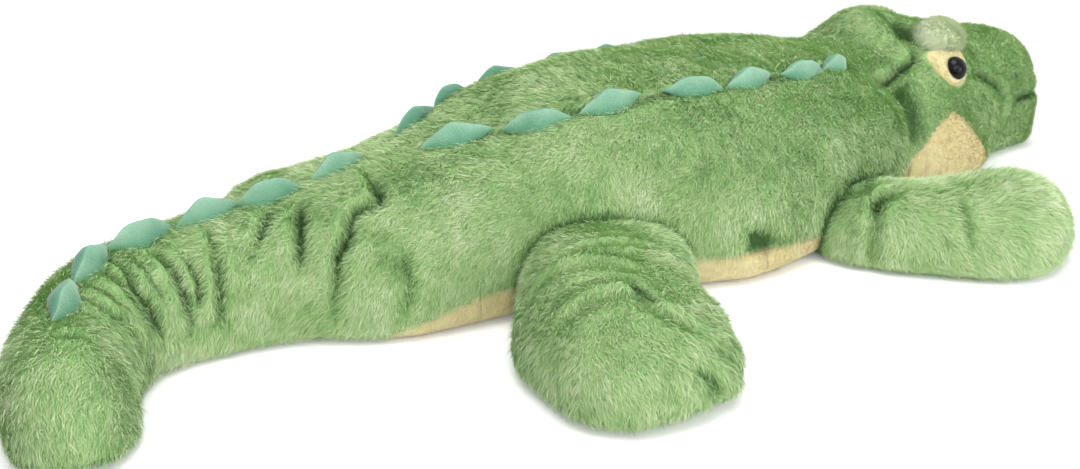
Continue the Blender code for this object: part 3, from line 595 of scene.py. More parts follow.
def backing_finish(name, colour, shade):
    """The woven backing under a pile, mottled as the pile lets it through, with painted shade in its creases.
    """
    finish = Finish(name, 0.95, Specular_IOR_Level=0.1, Sheen_Weight=0.2)
    grain = finish.noise(finish.place(), 220.0, 3.0, 0.6)
    thread = finish.ramp(grain, [(0.3, (0, 0, 0)), (0.7, (1, 1, 1))])
    weave = finish.mix(thread, (*shade, 1.0), (*colour, 1.0))
    # Painted shade: the backing turns near black where the crease shade is high.
    crease_shade = finish.node("ShaderNodeAttribute", {"attribute_name": "crease_shade"}, output=2)
    pressed = finish.ramp(crease_shade, [(0.1, (0, 0, 0)), (0.8, (1, 1, 1))])
    finish.feed("Base Color", finish.mix(pressed, weave, (*[0.3 * level for level in shade], 1.0)))
    finish.feed("Normal", finish.bump(grain, 0.5, 0.001))
    return finish.material


green_pile = pile_finish("green_pile", srgb(142, 184, 117), srgb(55, 100, 42), srgb(160, 200, 129),
                         srgb(198, 221, 164), srgb(234, 242, 207))
green_backing = backing_finish("green_backing", srgb(174, 208, 144), srgb(134, 180, 110))
yellow_pile = pile_finish("yellow_pile", srgb(212, 201, 152), srgb(190, 170, 112), srgb(217, 208, 160),
                          srgb(230, 223, 182), srgb(244, 240, 210))
yellow_backing = backing_finish("yellow_backing", srgb(224, 212, 164), srgb(210, 194, 140))
pile_share = 1.0


def blade_mesh(name, root, across, knee, tip, bent, tone, normal, material):
    """Thin blades: the bent ones have a knee, the others run straight to their tip.

    They are shaded mostly by the cloth's own direction, as pile is that scatters light.
    """
    many, few = np.where(~bent)[0], np.where(bent)[0]
    knee_width, floor_gap = 0.8, 0.0002
    left, right = root - across, root + across
    kneed = np.stack([left[few], right[few], knee[few] + across[few] * knee_width,
                      knee[few] - across[few] * knee_width, tip[few]], axis=1).reshape(-1, 3)
    straight = np.stack([left[many], right[many], tip[many]], axis=1).reshape(-1, 3)
    corners = np.concatenate([kneed, straight])
    corners[:, 2] = np.maximum(corners[:, 2], floor_gap)
    first, second = 5 * np.arange(len(few))[:, None], 5 * len(few) + 3 * np.arange(len(many))[:, None]
    loops = np.concatenate([(first + [0, 1, 2, 3, 3, 2, 4]).ravel(), (second + [0, 1, 2]).ravel()])
    starts = np.concatenate([(7 * np.arange(len(few))[:, None] + [0, 4]).ravel(),
                             7 * len(few) + 3 * np.arange(len(many))])
    mesh = bpy.data.meshes.new(name)
    mesh.vertices.add(len(corners))
    mesh.vertices.foreach_set("co", corners.ravel().astype(np.float32))
    mesh.loops.add(len(loops))
    mesh.loops.foreach_set("vertex_index", loops.astype(np.int32))
    mesh.polygons.add(len(starts))
    mesh.polygons.foreach_set("loop_start", starts.astype(np.int32))
    mesh.update(calc_edges=True)

    def shaded(blades, start, end):
        face = np.cross(across[blades], end[blades] - start[blades])
        face /= np.maximum(np.linalg.norm(face, axis=1, keepdims=True), 1e-12)
        return 0.8 * normal[blades] + 0.4 * face

    low, high = shaded(few, root, knee), shaded(few, knee, tip)
    middle = (low + high) / 2
    plain = shaded(many, root, tip)
    mesh.normals_split_custom_set_from_vertices(np.concatenate([
        np.stack([low, low, middle, middle, high], axis=1).reshape(-1, 3),
        np.stack([plain, plain, plain], axis=1).reshape(-1, 3)]))

    def blade_map(blades, sides, rises):
        """Corners on the pile's map: the blade's tone across, its root to tip up."""
        map_half_width, map_foot, map_rise = 0.004, 0.02, 0.96
        return np.stack(np.broadcast_arrays(tone[blades][:, None] + map_half_width * np.array(sides),
                                            map_foot + map_rise * np.array(rises)), axis=-1).ravel()

    layer = mesh.uv_layers.new(name="OFBake")
    layer.data.foreach_set("uv", np.concatenate([
        blade_map(few, [-1, 1, 1, -1, -1, 1, 0], [0, 0, 0.5, 0.5, 0.5, 0.5, 1.0]),
        blade_map(many, [-1, 1, 0], [0, 0, 1.0])]).astype(np.float32))
    mesh.materials.append(material)
    pile = bpy.data.objects.new(name, mesh)
    scene.collection.objects.link(pile)
    return pile


def grow_pile(name, cloth, rings, inside, density, length, material, comb, seed, fasten_pile,
              lie=(46.0, 15.0), tuft=0.0034, width=0.00032, bent_share=0.12, lighter=0.0):
    """Grow pile on the cloth between two rings, where inside says so, combed by comb."""
    dice = np.random.default_rng(seed)
    rows, columns = [grid.ravel() for grid in np.meshgrid(
        np.arange(*rings), np.arange(cloth.points.shape[1] - 1), indexing="ij")]
    corner = cloth.points[rows, columns]
    area = np.linalg.norm(np.cross(cloth.points[rows + 1, columns] - corner,
                                   cloth.points[rows, columns + 1] - corner), axis=1)
    sole_share, hidden_share, stray_share = 0.3, 0.35, 0.04
    sole = (cloth.normals[rows, columns, 2] < -0.8) & (corner[:, 2] < 0.004)
    area = area * np.where(sole, sole_share, 1.0)
    area = area * np.where(cloth.hidden[rows, columns] > 0.5, hidden_share, 1.0)
    count = int(area.sum() * density * pile_share)
    picks = dice.choice(len(area), size=count, p=area / area.sum())
    u, v = dice.random(count)[:, None], dice.random(count)[:, None]
    fields = np.concatenate([cloth.points, cloth.normals, cloth.crease_shade[..., None], cloth.mottle[..., None],
                             cloth.swirl[..., None]], axis=-1)
    r, c = rows[picks], columns[picks]
    here = ((fields[r, c] * (1 - u) + fields[r + 1, c] * u) * (1 - v)
            + (fields[r, c + 1] * (1 - u) + fields[r + 1, c + 1] * u) * v)
    here = here[inside(here[:, :3])]
    count = len(here)
    root, normal = here[:, :3], here[:, 3:6] / np.linalg.norm(here[:, 3:6], axis=1, keepdims=True)
    crease_shade, mottle, swirl = here[:, 6], here[:, 7], here[:, 8]

    def along_cloth(way):
        way = way - normal * np.sum(way * normal, axis=1, keepdims=True)
        return way / np.maximum(np.linalg.norm(way, axis=1, keepdims=True), 1e-9)

    way = along_cloth(comb(root, normal))
    swirl_turn, root_jitter, gathered, tuft_spread, blade_spread = 0.9, 0.001, 0.3, 0.22, 0.26
    turn = (swirl_turn * swirl)[:, None]
    way = way * np.cos(turn) + np.cross(normal, way) * np.sin(turn)
    cell = np.floor((root + root_jitter * dice.normal(0.0, 1.0, (count, 3))) / tuft).astype(np.int64)
    _, member = np.unique(cell @ np.array([73856093, 19349663, 83492791]), return_inverse=True)
    size = np.bincount(member)
    middle = np.stack([np.bincount(member, root[:, axis]) / size for axis in range(3)], axis=1)
    tuft_lean = dice.normal(0.0, 1.0, (len(size), 3))[member]
    gather = (middle[member] - root) * gathered
    way = along_cloth(way + tuft_spread * tuft_lean + blade_spread * dice.normal(0.0, 1.0, (count, 3)))
    bent = dice.random(count) < bent_share
    straight_share, crease_loss, floor_share, floor_height, stray_length = 0.74, 0.6, 0.6, 0.01, 1.3
    reach = length * (0.7 + 0.5 * dice.random(count)) * (1 - crease_loss * crease_shade)
    reach *= np.where(bent, 1.0, straight_share)
    reach *= floor_share + (1 - floor_share) * np.clip(root[:, 2] / floor_height, 0.0, 1.0)
    stray = dice.random(count) < stray_share
    reach *= np.where(stray, stray_length, 1.0)
    stray_lift, knee_place = 16, 0.42
    steep = np.radians(lie[0] + stray_lift * stray + 10 * dice.normal(0.0, 1.0, count))[:, None]
    shallow = np.radians(lie[1] + stray_lift * stray + 9 * dice.normal(0.0, 1.0, count))[:, None]
    reach = reach[:, None]
    first = way * np.cos(steep) + normal * np.sin(steep)
    second = way * np.cos(shallow) + normal * np.sin(shallow)
    knee = root + first * knee_place * reach
    tip = np.where(bent[:, None], knee + second * (1 - knee_place) * reach,
                   root + (first + second) * 0.5 * reach) + gather
    turn = np.radians(32 * dice.normal(0.0, 1.0, count))[:, None]
    across = np.cross(way, normal) * np.cos(turn) + normal * np.sin(turn)
    across *= (width * (0.7 + 0.6 * dice.random(count)) / 2 / math.sqrt(pile_share))[:, None]
    # Tone varies at random and with the mottle, and the crease shade lowers it: painted shade in folds, seams
    # and at the legs' roots.
    tone = (0.54 + 0.13 * dice.normal(0.0, 1.0, count) + 0.08 * dice.normal(0.0, 1.0, len(size))[member]
            + 0.4 * mottle - 0.9 * crease_shade)
    tone = np.clip(tone + lighter, 0.02, 0.98)
    root = root - normal * 0.0004
    triangles, most = count + 2 * bent.sum(), 190000
    for number, chunk in enumerate(np.array_split(np.arange(count), triangles // most + 1)):
        pile = blade_mesh(f"{name}_{number + 1}", root[chunk], across[chunk], knee[chunk], tip[chunk],
                          bent[chunk], tone[chunk], normal[chunk], material)
        fasten_pile(pile)


def belly_seam(x):
    """Height at which the yellow belly meets the green flanks."""
    return np.interp(x, [-0.165, -0.145, -0.125, -0.1, -0.04, 0.07, 0.14, 0.18, 0.235],
                     [-0.01, 0.006, 0.012, 0.018, 0.021, 0.018, 0.015, 0.016, 0.024])


def throat_seam(x):
    """Height at which the yellow throat meets the green head."""
    return np.interp(x, [0.235, 0.25, 0.262, 0.275, 0.288, 0.3, 0.315, 0.33, 0.345],
                     [0.024, 0.032, 0.041, 0.048, 0.051, 0.045, 0.032, 0.015, -0.01])


def yellow_under(points):
    x, z = points[..., 0], points[..., 2]
    return z < np.where(x < neck_x, belly_seam(x), throat_seam(x))


def head_spot(along, angle, side):
    """A place on the head with its forward, upward and outward directions, for eye, patch and lid."""
    def at(place, turn):
        return trunk.points(place, np.array([turn]))[0]
    turn = side * math.radians(angle)
    ahead = at(along + 0.003, turn) - at(along - 0.003, turn)
    outward = np.cross(at(along, turn + 0.05) - at(along, turn - 0.05), ahead)
    outward *= np.sign(outward[1] * side + outward[2]) / np.linalg.norm(outward)
    upward = np.array([0.0, 0.0, 1.0]) - outward * outward[2]
    upward /= np.linalg.norm(upward)
    return at(along, turn), np.cross(upward, outward) * side * -1.0, upward, outward


eye_spots = {side: head_spot(neck_x + 0.3 * head_length, 55.0, side) for side in (1, -1)}
lid_spots = {side: head_spot(neck_x + 0.368 * head_length, 25.0, side) for side in (1, -1)}
lid_half = np.array([0.0265, 0.0155, 0.0116])
patch_lift = 0.0035
# Outline of an eye's patch round the eye: forward and upward.
patch_outline = np.array([(-0.0178, 0.015), (-0.006, 0.0178), (0.01, 0.0182), (0.0205, 0.014),
                          (0.0215, 0.0055), (0.0145, -0.005), (0.004, -0.0102), (-0.004, -0.01),
                          (-0.012, -0.004), (-0.018, 0.006)]) - (0.0, patch_lift)
patch_turns = np.arctan2(patch_outline[:, 1], patch_outline[:, 0])
patch_reach = np.linalg.norm(patch_outline, axis=1)[np.argsort(patch_turns)]
patch_turns = np.sort(patch_turns)


def patch_radius(turn):
    return np.interp(turn, patch_turns, patch_reach, period=2 * math.pi)


def in_patch(points, share):
    """Whether points on the head lie under either eye's patch, shrunk to a share of its size."""
    hidden = np.zeros(len(points), dtype=bool)
    for place, forward, upward, outward in eye_spots.values():
        u, v = (points - place) @ forward, (points - place) @ upward - patch_lift
        near = np.abs((points - place) @ outward) < 0.02
        hidden |= near & (np.hypot(u, v) < share * patch_radius(np.arctan2(v, u)))
    return hidden


def under_lid(points, share):
    hidden = np.zeros(len(points), dtype=bool)
    for place, forward, upward, outward in lid_spots.values():
        local = np.stack([(points - place) @ forward, (points - place) @ np.cross(outward, forward),
                          (points - place) @ outward], axis=1)
        hidden |= np.linalg.norm(local / lid_half, axis=1) < share
    return hidden


def green_cloth(points):
    return ~yellow_under(points) & ~in_patch(points - (0.002, 0.0, 0.0), 1.08) & ~under_lid(points, 1.05)


def downhill(normals):
    down = np.array([0.0, 0.0, -1.0])[None, :]
    return np.cross(normals, np.cross(down, normals))


def trunk_comb(points, normals):
    """Back towards the tail and down the sides, as the cloth was cut."""
    curl = np.clip((-0.235 - points[:, 0]) / 0.05, 0.0, 1.0)
    back = np.stack([0.75 * curl - 1.0, -1.6 * curl, 0.0 * curl], axis=1)
    return 0.8 * back + 0.9 * downhill(normals)


def head_comb(points, normals):
    """Back over the head and down its cheeks."""
    return np.array([-1.0, 0.0, 0.0])[None, :] + 0.45 * downhill(normals)


first_hinge = Vector((-0.20195, 0.00022, 0.0))
second_hinge = Vector((-0.26144, -0.01119, 0.0))
third_hinge = Vector((-0.29542, -0.05882, 0.0))
neck_hinge = Vector((neck_x, 0.0, 0.0))
head_hinge = Vector((0.27994, 0.0, 0.04904))
tail_way = [Vector((*trunk.heading(along), 0.0)) for along in (-0.2019, -0.263, -0.3226)]
crossings = {
    "tail_end": ("tail_tip", "tail_middle", third_hinge - tail_way[2] * 0.02,
                 third_hinge + tail_way[2] * 0.02),
    "tail_bend": ("tail_middle", "tail_root", second_hinge - tail_way[1] * 0.022,
                  second_hinge + tail_way[1] * 0.022),
    "rump": ("tail_root", "torso", first_hinge - tail_way[0] * 0.026, first_hinge + tail_way[0] * 0.034),
    "shoulders": ("torso", "neck", neck_hinge - Vector((0.03, 0, 0)), neck_hinge + Vector((0.018, 0, 0))),
    "head": ("neck", "head", head_hinge - Vector((0.018, 0, 0)), head_hinge + Vector((0.006, 0, 0))),
}


def fasten(piece, part):
    """Bake the transform of a trunk piece that crosses a joint, or let it ride the torso."""
    if part in crossings:
        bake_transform(piece)
    else:
        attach(piece, "torso")


def under_panel(name, first, last):
    """The yellow cloth of belly or throat as a thin sheet over the stuffed form."""
    lift, thickness, hem, floor_gap = 0.0005, 0.0004, 0.0022, 0.0003
    shape = trunk_skin.grid_mesh(first, last, lift)
    centres = np.array([face.calc_center_median() for face in shape.faces])
    outside = [face for face, kept in zip(list(shape.faces), yellow_under(centres)) if not kept]
    bmesh.ops.delete(shape, geom=outside, context="FACES")
    for vertex in shape.verts:
        if yellow_under(np.array([vertex.co]))[0]:
            continue
        x = vertex.co.x
        seam = float(belly_seam(x) if x < neck_x else throat_seam(x))
        vertex.co.z = max(seam, vertex.co.z - hem)
    bmesh.ops.recalc_face_normals(shape, faces=shape.faces)
    if sum(face.normal.z * face.calc_area() for face in shape.faces) > 0:
        bmesh.ops.reverse_faces(shape, faces=shape.faces)
    bmesh.ops.solidify(shape, geom=shape.faces, thickness=thickness)
    for vertex in shape.verts:
        vertex.co.z = max(vertex.co.z, floor_gap)
    piece = finish_mesh(name, shape, yellow_backing)
    return piece


# Four legs: stuffed tubes with round roots sewn under the flanks, soft folds where they bend
# and shallow toes pinched at the end. The left hind one lies back beside the tail.
def leg_form(side, hip, reach, half_width, height, root_radius, shares, turn):
    """Rows of a leg from the round root inside the flank out to the toes."""
    rows = []
    start_way = (shares[1][1] - shares[0][1], shares[1][0] - shares[0][0])
    back = -root_radius / reach / math.hypot(*start_way)
    root = (root_radius / half_width, shares[0][3])
    for out, forward, width, rise in ((back * start_way[1], back * start_way[0], *root),
                                      (*shares[0][:2], *root), *shares[1:]):
        place = Vector(hip) + turn @ Vector((forward * reach, side * out * reach, 0.0))
        rows.append((place.x, place.y, width * half_width, rise * height, 0.0, 2.2, 0.24, 0.0))
    return SoftForm(rows, root_radius, 0.034, 5.0)


hind_shares = [(0.0, 0.0, 0.79, 0.9), (0.256, -0.19, 0.9, 1.0), (0.513, -0.35, 0.96, 0.98),
               (0.77, -0.38, 1.0, 0.86), (1.0, -0.33, 0.98, 0.8)]
fore_shares = [(0.0, 0.0, 0.78, 0.82), (0.35, 0.3, 0.82, 0.85), (0.62, 0.56, 0.92, 0.93),
               (0.92, 0.85, 1.0, 1.0)]
hind_folds = metres([
    (2.7, 7.8, [(-95, -121, 36), (-89, -124, 43), (-73, -128, 48), (-56, -134, 49), (-43, -135, 47)]),
    (2.7, 8.4, [(-108, -130, 30), (-102, -133, 37), (-92, -139, 44), (-82, -145, 47), (-74, -155, 47),
        (-68, -160, 46)]),
    (3, 7.8, [(-113, -164, 36), (-104, -167, 40), (-92, -170, 43), (-86, -174, 43), (-84, -185, 41),
        (-80, -193, 39), (-73, -199, 34)]),
    (2.5, 3.4, [(-79, -161, 46), (-79, -175, 44), (-78, -184, 41)]),
    (2.8, 2, [(-48, -205, 4), (-58, -207, 18), (-72, -208, 28)]),
    (2.8, 2, [(-66, -222, 4), (-74, -219, 18), (-84, -213, 28)]),
])
fore_folds = metres([
    (2.8, 9.5, [(131, -122, 31), (141, -120, 35), (152, -117, 36)]),
    (3, 9.5, [(128, -130, 8), (136, -129, 25), (141, -134, 32), (149, -134, 33)]),
    (2.5, 5.9, [(123, -115, 36), (136, -121, 33)]),
    (2.6, 2.6, [(166, -160, 34), (163, -167, 28), (162, -175, 14)]),
    (3, 3.4, [(246, -165, 4), (240, -168, 20), (226, -170, 34)]),
    (3, 3.4, [(228, -196, 4), (224, -193, 20), (214, -186, 34)]),
])
hind_swells = [(-0.056, -0.208, 0.012, 0.024, 0.006)]
fore_swells = [(0.25, -0.19, 0.02, 0.03, 0.0085), (0.206, -0.172, 0.04, 0.026, 0.005),
               (0.126, -0.154, 0.01, 0.032, 0.019),
               (0.152, -0.176, 0.008, 0.026, 0.015), (0.174, -0.194, 0.008, 0.024, 0.011)]


def leg_comb(hip):
    """Out along the leg and down over its sides."""
    def comb(points, normals):
        away = (points - np.array(hip)) * (1.0, 1.0, 0.0)
        away /= np.maximum(np.linalg.norm(away, axis=1, keepdims=True), 1e-6)
        return away + 0.8 * downhill(normals)
    return comb


def everywhere(points):
    return np.ones(len(points), dtype=bool)


pile_density = 3.8e6
for name, side, hip_x, hip_out, reach, half_width, height, root_radius, shares, folds, swells, lay in (
        ("hind_leg_right", -1, -0.035, 0.093, 0.12, 0.047, 0.05, 0.047, hind_shares, hind_folds,
         hind_swells, 0.0),
        ("hind_leg_left", 1, -0.035, 0.093, 0.12, 0.047, 0.044, 0.047, hind_shares, hind_folds,
         hind_swells, -62.0),
        ("foreleg_right", -1, 0.147, 0.104, 0.094, 0.042, 0.043, 0.039, fore_shares, fore_folds,
         fore_swells, 0.0),
        ("foreleg_left", 1, 0.147, 0.104, 0.094, 0.042, 0.043, 0.039, fore_shares, fore_folds,
         fore_swells, 0.0)):
    hip = Vector((hip_x, side * hip_out, 0.0))
    turn = Matrix.Rotation(math.radians(-side * lay), 3, "Z")
    form = leg_form(side, hip, reach, half_width, height, root_radius, shares, turn)

    def placed(x, y, z):
        """A place given on the right leg, moved to this one."""
        away = turn @ Vector((x - hip_x, -side * (y + hip_out), 0.0))
        return (hip.x + away.x, hip.y + away.y, z)

    skin = Skin(form, 0.0022, 96,
                [(half, depth, [placed(*point) for point in line]) for half, depth, line in folds],
                [(*placed(x, y, z), radius, rise) for x, y, z, radius, rise in swells],
                lumps=0.0014, lump_scale=34.0, seed=27 + side)
    root_shade = 0.75 if side < 0 else 0.35
    skin.press_against(trunk_skin, root_shade)
    trunk_skin.press_against(skin, root_shade)
    last = len(skin.places) - 1
    piece = skin.stuffed(name + "_cover", 0, last, 0.0008)
    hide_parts(name + "_plush", name + "_stuffing")
    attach(piece, name)
    grow_pile(name + "_pile", skin, (0, last), everywhere, pile_density, 0.0068, green_pile,
              leg_comb(hip), 60 + int(hip_x * 100) + side, lambda pile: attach(pile, name), lighter=0.05)


# The trunk's cloth is closed over its stuffing and its pile grown last, clear of the legs' roots.
under_nodes = {"body": ["belly_panel"], "head": ["throat_panel"]}
for index, (part, start, end, nodes) in enumerate((
        ("tail_end", trunk.knots[0], -0.293, ["tail_tip_plush", "tail_tip_stuffing"]),
        ("tail_bend", -0.293, -0.2325, ["tail_middle_plush", "tail_middle_stuffing"]),
        ("rump", -0.2325, -0.1, ["tail_root_plush", "tail_root_stuffing"]),
        ("body", -0.1, 0.06, ["back_gusset", "flank_left", "torso_stuffing"]),
        ("chest", 0.06, 0.15, ["flank_right"]),
        ("shoulders", 0.15, 0.2575, ["neck_plush", "neck_stuffing"]),
        ("head", 0.2575, trunk.knots[-1], ["head_plush", "head_stuffing"]))):
    first, last = trunk_skin.ring_at(start), trunk_skin.ring_at(end)
    piece = trunk_skin.stuffed(part + "_plush", first, last, 0.0012)
    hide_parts(*nodes)
    fasten(piece, part)
    way = head_comb if part == "head" else trunk_comb
    grow_pile(part + "_pile", trunk_skin, (first, last), green_cloth, pile_density,
              0.0058 if part == "head" else 0.007, green_pile,
              way, 10 + index, lambda pile: fasten(pile, part))
    if not part.startswith("tail"):
        panel = under_panel(part + "_underside", first, last)
        if part in under_nodes:
            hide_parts(*under_nodes[part])
        fasten(panel, part)
        grow_pile(part + "_under_pile", trunk_skin, (first, last), yellow_under, pile_density, 0.0042,
                  yellow_pile, way, 40 + index, lambda pile: fasten(pile, part),
                  lie=(46.0, 16.0))


# Spikes: leaves of smooth teal cloth, turned and lightly stuffed, caught in the seams with
# their ridge standing out. Two rows run down the back and one along the tail.
minky = Finish("teal_minky", 0.75, Specular_IOR_Level=0.2, Sheen_Weight=0.35, Sheen_Roughness=0.4)
nap = minky.noise(minky.place(), 900.0, 2.0, 0.7)
drift = minky.noise(minky.place(), 70.0, 2.0, 0.5)
# The spikes' colour paints light and shade: lighter towards the ridge by rise, darker on the inner facet; nap
# and drift are the cloth's own grain and tone.
rise = minky.node("ShaderNodeAttribute", {"attribute_name": "rise"}, output=2)
facet_shade = minky.node("ShaderNodeAttribute", {"attribute_name": "inner_facet_shade"}, output=2)
minky.feed("Base Color", minky.ramp((nap * 0.2 + drift * 0.4 + rise * 0.45 - facet_shade * 0.26 + 0.05).clamped(), [
    (0.16, srgb(52, 98, 76)), (0.36, srgb(80, 132, 106)), (0.6, srgb(102, 154, 126)),
    (0.9, srgb(150, 188, 164))]))
minky.feed("Normal", minky.bump(nap, 0.5, 0.001))


def make_spike(name, along, side, length, body, bend, flop, tall):
    """A leaf pointed at both ends; its ridge leans inward, and the low facet is the wider one."""
    def at(place):
        return Vector(trunk.points(place, np.array([seam_angle(place, side)]))[0])
    middle = at(along)
    ahead = (at(along + length / 4) - at(along - length / 4)).normalized()
    turn = seam_angle(along, side)
    round_it = Vector(trunk.points(along, np.array([turn + 0.05]))[0]
                      - trunk.points(along, np.array([turn - 0.05]))[0])
    outward = round_it.cross(ahead).normalized()
    outward *= math.copysign(1.0, outward.z)
    inward = outward.cross(ahead).normalized()
    inward *= math.copysign(1.0, inward.y) * (-1.0 if side > 0 else 1.0)
    tip_over = Matrix.Rotation(math.radians(flop), 3, ahead)
    if (tip_over @ outward).dot(inward) > 0:
        tip_over.transpose()
    outward, inward = tip_over @ outward, tip_over @ inward
    half_width, lift, crimp_depth, bow, ridge_lean = 0.0074, 0.001, 0.0009, 0.0026, 0.34
    shape = bmesh.new()
    bmesh.ops.create_uvsphere(shape, u_segments=36, v_segments=24, radius=1.0)
    level = shape.verts.layers.float.new("rise")
    facet = shape.verts.layers.float.new("inner_facet_shade")
    for vertex in shape.verts:
        across, up, run = vertex.co
        round_share = max(math.sqrt(max(1.0 - run ** 2, 0.0)), 1e-4)
        across, up = across / round_share, up / round_share
        point = max(1.0 - abs(run) ** 1.8, 0.0) ** 1.25
        sharp = math.copysign(abs(across) ** 1.5, across)
        height = tall * point ** 0.8 * (abs(up) ** 1.45 if up > 0 else -0.08 * abs(up))
        crimp = crimp_depth * math.sin(7.0 * run + 2.0 * bend) * point * max(up, 0.0)
        lean = ridge_lean * height + crimp
        shift = bend * bow * run * abs(run)
        vertex.co = middle + ahead * (run * length / 2) + inward * (
            sharp * half_width * point + lean + shift) + outward * (height + lift)
        # Rise and inner facet feed the minky's painted light on the upper part and painted shade on the inner
        # facet.
        vertex[level] = max(up, 0.0)
        vertex[facet] = min(max(across * 2.2 + 0.1, 0.0), 1.0)
    bmesh.ops.recalc_face_normals(shape, faces=shape.faces)
    spike = finish_mesh(name + "_leaf", shape, minky.material)
    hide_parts(name)
    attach(spike, body)


back_length, back_tall, back_flop = 0.041, 0.0088, 13.0
last_length, last_tall = 0.96, 0.0084
tail_spike_length, tail_tall, tail_flop = 0.037, 0.0104, 32.0
for side, side_name in ((1, "left"), (-1, "right")):
    for index, share in enumerate((0.202, 0.296, 0.4, 0.536, 0.64, 0.76, 0.855)):
        make_spike(f"spike_{side_name}_{index + 1}", rump_x + share * (neck_x - rump_x), side,
                   back_length * (last_length if index == 6 else 1.0), "torso", 1 - 2 * (index % 2),
                   back_flop, last_tall if index == 6 else back_tall)
for index, (along, body) in enumerate((
        (rump_x + 0.048 * (neck_x - rump_x), "torso"), (rump_x - 0.088 * tail_length, "tail_root"),
        (rump_x - 0.246 * tail_length, "tail_root"), (rump_x - 0.404 * tail_length, "tail_middle"),
        (rump_x - 0.556 * tail_length, "tail_middle"), (rump_x - 0.721 * tail_length, "tail_tip"))):
    make_spike(f"spike_tail_{index + 1}", along, 0, tail_spike_length, body, 1 - 2 * (index % 2),
               tail_flop, tail_tall)


# Each eye is a black plastic dome on a patch of cream plush, under a padded lid of pale
# green plush. Its stem goes through the cloth and is locked by a washer inside the head.
cream_pile = pile_finish("cream_pile", srgb(244, 236, 190), srgb(226, 214, 156), srgb(246, 240, 200),
                         srgb(252, 248, 214), srgb(255, 253, 234))
cream_backing = backing_finish("cream_backing", srgb(248, 242, 204), srgb(238, 228, 180))
lid_pile = pile_finish("lid_pile", srgb(202, 216, 178), srgb(140, 174, 114), srgb(215, 227, 192),
                       srgb(229, 237, 210), srgb(243, 247, 230))
lid_backing = backing_finish("lid_backing", srgb(228, 238, 206), srgb(208, 224, 182))
gloss = Finish("black_dome", 0.06, Base_Color=(0.003, 0.003, 0.004, 1.0), Specular_IOR_Level=0.2)
gloss_marks = gloss.noise(gloss.place(), 300.0, 2.0, 0.5)
gloss.feed("Roughness", gloss_marks * 0.05 + 0.04)
washer_plastic = Finish("white_washer", 0.45, Specular_IOR_Level=0.4)
washer_grain = washer_plastic.noise(washer_plastic.place(), 200.0)
washer_plastic.feed("Base Color", washer_plastic.ramp(
    washer_grain, [(0.3, (0.74, 0.74, 0.72)), (0.7, (0.84, 0.84, 0.82))]))
dome_half, dome_front, dome_back, dome_out, dome_up = (0.008, 0.0082), 0.0064, 0.0014, 0.0038, 0.001
patch_edge, patch_crown, patch_thickness = 0.0004, 0.0022, 0.0022
head_start = trunk_skin.ring_at(0.25)
head_points = trunk_skin.points[head_start:].reshape(-1, 3)
head_normals = trunk_skin.normals[head_start:].reshape(-1, 3)


def on_head(spot, outward):
    """The head's surface under a spot, and its normal."""
    near = np.argsort(np.linalg.norm(head_points - spot, axis=1))[:6]
    weight = 1.0 / (np.linalg.norm(head_points[near] - spot, axis=1) + 1e-4)
    normal = (head_normals[near] * weight[:, None]).sum(axis=0)
    normal /= np.linalg.norm(normal)
    rise = ((head_points[near] - spot) @ outward * weight).sum() / weight.sum()
    return spot + outward * rise, normal


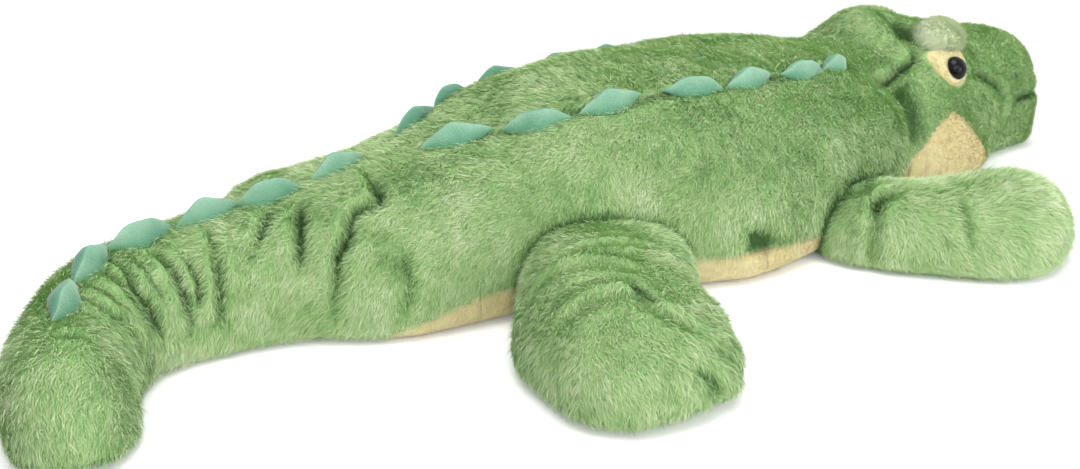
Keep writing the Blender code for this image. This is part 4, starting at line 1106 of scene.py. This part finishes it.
for side, side_name in ((1, "left"), (-1, "right")):
    place, forward, upward, outward = eye_spots[side]
    count = 25
    spread = np.linspace(-1.0, 1.0, count)
    points, normals = np.zeros((count, count, 3)), np.zeros((count, count, 3))
    for i, a in enumerate(spread):
        for j, b in enumerate(spread):
            u, v = a * math.sqrt(1 - b * b / 2), b * math.sqrt(1 - a * a / 2)
            out, turn = min(math.hypot(u, v), 1.0), math.atan2(v, u)
            reach = out * float(patch_radius(turn))
            spot = place + forward * reach * math.cos(turn) + upward * (reach * math.sin(turn) + patch_lift)
            hit, normal = on_head(spot, outward)
            points[i, j] = hit + normal * (patch_edge + patch_crown * min((1.0 - out) / 0.2, 1.0))
            normals[i, j] = normal
    shape = bmesh.new()
    bmesh.ops.create_grid(shape, x_segments=count - 1, y_segments=count - 1, size=1.0)
    for vertex in shape.verts:
        row, column = [round((share + 1) / 2 * (count - 1)) for share in vertex.co[:2]]
        vertex.co = points[row, column]
    bmesh.ops.recalc_face_normals(shape, faces=shape.faces)
    if sum(face.normal.dot(Vector(outward)) for face in shape.faces) < 0:
        bmesh.ops.reverse_faces(shape, faces=shape.faces)
    bmesh.ops.solidify(shape, geom=shape.faces, thickness=patch_thickness)
    patch = finish_mesh(f"eye_patch_{side_name}_cloth", shape, cream_backing)
    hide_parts(f"eye_patch_{side_name}")
    fasten(patch, "head")

    def round_the_eye(found):
        dome_edge = 0.0078
        return np.hypot((found - place) @ forward, (found - place) @ upward) > dome_edge

    grow_pile(f"eye_patch_{side_name}_pile", Cloth(points, normals, seed=31), (0, count - 1), round_the_eye,
              7.0e6, 0.0032, cream_pile, head_comb, 90 + side,
              lambda pile: fasten(pile, "head"), lie=(42.0, 18.0), width=0.00026)

    dome = bmesh.new()
    bmesh.ops.create_uvsphere(dome, u_segments=40, v_segments=24, radius=1.0)
    for vertex in dome.verts:
        x, y, z = vertex.co
        vertex.co = (x * dome_half[0], y * dome_half[1], max(z, 0.0) * dome_front + min(z, 0.0) * dome_back)
    matrix = Matrix((forward, upward, outward)).transposed().to_4x4()
    matrix.translation = Vector(place + outward * dome_out + upward * dome_up)
    bmesh.ops.transform(dome, matrix=matrix, verts=dome.verts)
    bmesh.ops.recalc_face_normals(dome, faces=dome.faces)
    eye = finish_mesh(f"eye_{side_name}_dome", dome, gloss.material)
    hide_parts(f"eye_{side_name}")
    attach(eye, "head")

    place, forward, upward, outward = lid_spots[side]
    across = np.cross(outward, forward)
    turns, rounds = np.meshgrid(np.linspace(0.02, math.pi - 0.02, 41), np.linspace(0, 2 * math.pi, 61),
                                indexing="ij")
    ball = np.stack([np.cos(turns), np.sin(turns) * np.cos(rounds), np.sin(turns) * np.sin(rounds)], axis=-1)
    axes = np.stack([forward, across, outward])
    points = place + (ball * lid_half) @ axes
    normals = (ball / lid_half) @ axes
    normals /= np.linalg.norm(normals, axis=-1, keepdims=True)
    lid = bmesh.new()
    bmesh.ops.create_uvsphere(lid, u_segments=40, v_segments=26, radius=1.0)
    for vertex in lid.verts:
        vertex.co = Vector(place + (np.array(vertex.co) * lid_half) @ axes)
    bmesh.ops.recalc_face_normals(lid, faces=lid.faces)
    pad = finish_mesh(f"eyelid_{side_name}_pad", lid, lid_backing)
    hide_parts(f"eyelid_{side_name}")
    fasten(pad, "head")

    def above_head(found):
        return (found - place) @ outward > -0.003

    grow_pile(f"eyelid_{side_name}_pile", Cloth(points, normals, seed=37), (0, 40), above_head, 4.5e6, 0.0052,
              lid_pile, head_comb, 95 + side, lambda pile: fasten(pile, "head"),
              lie=(52.0, 20.0), width=0.0003)
    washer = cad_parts[f"eye_washer_{side_name}"]
    washer.data.materials.clear()
    washer.data.materials.append(washer_plastic.material)
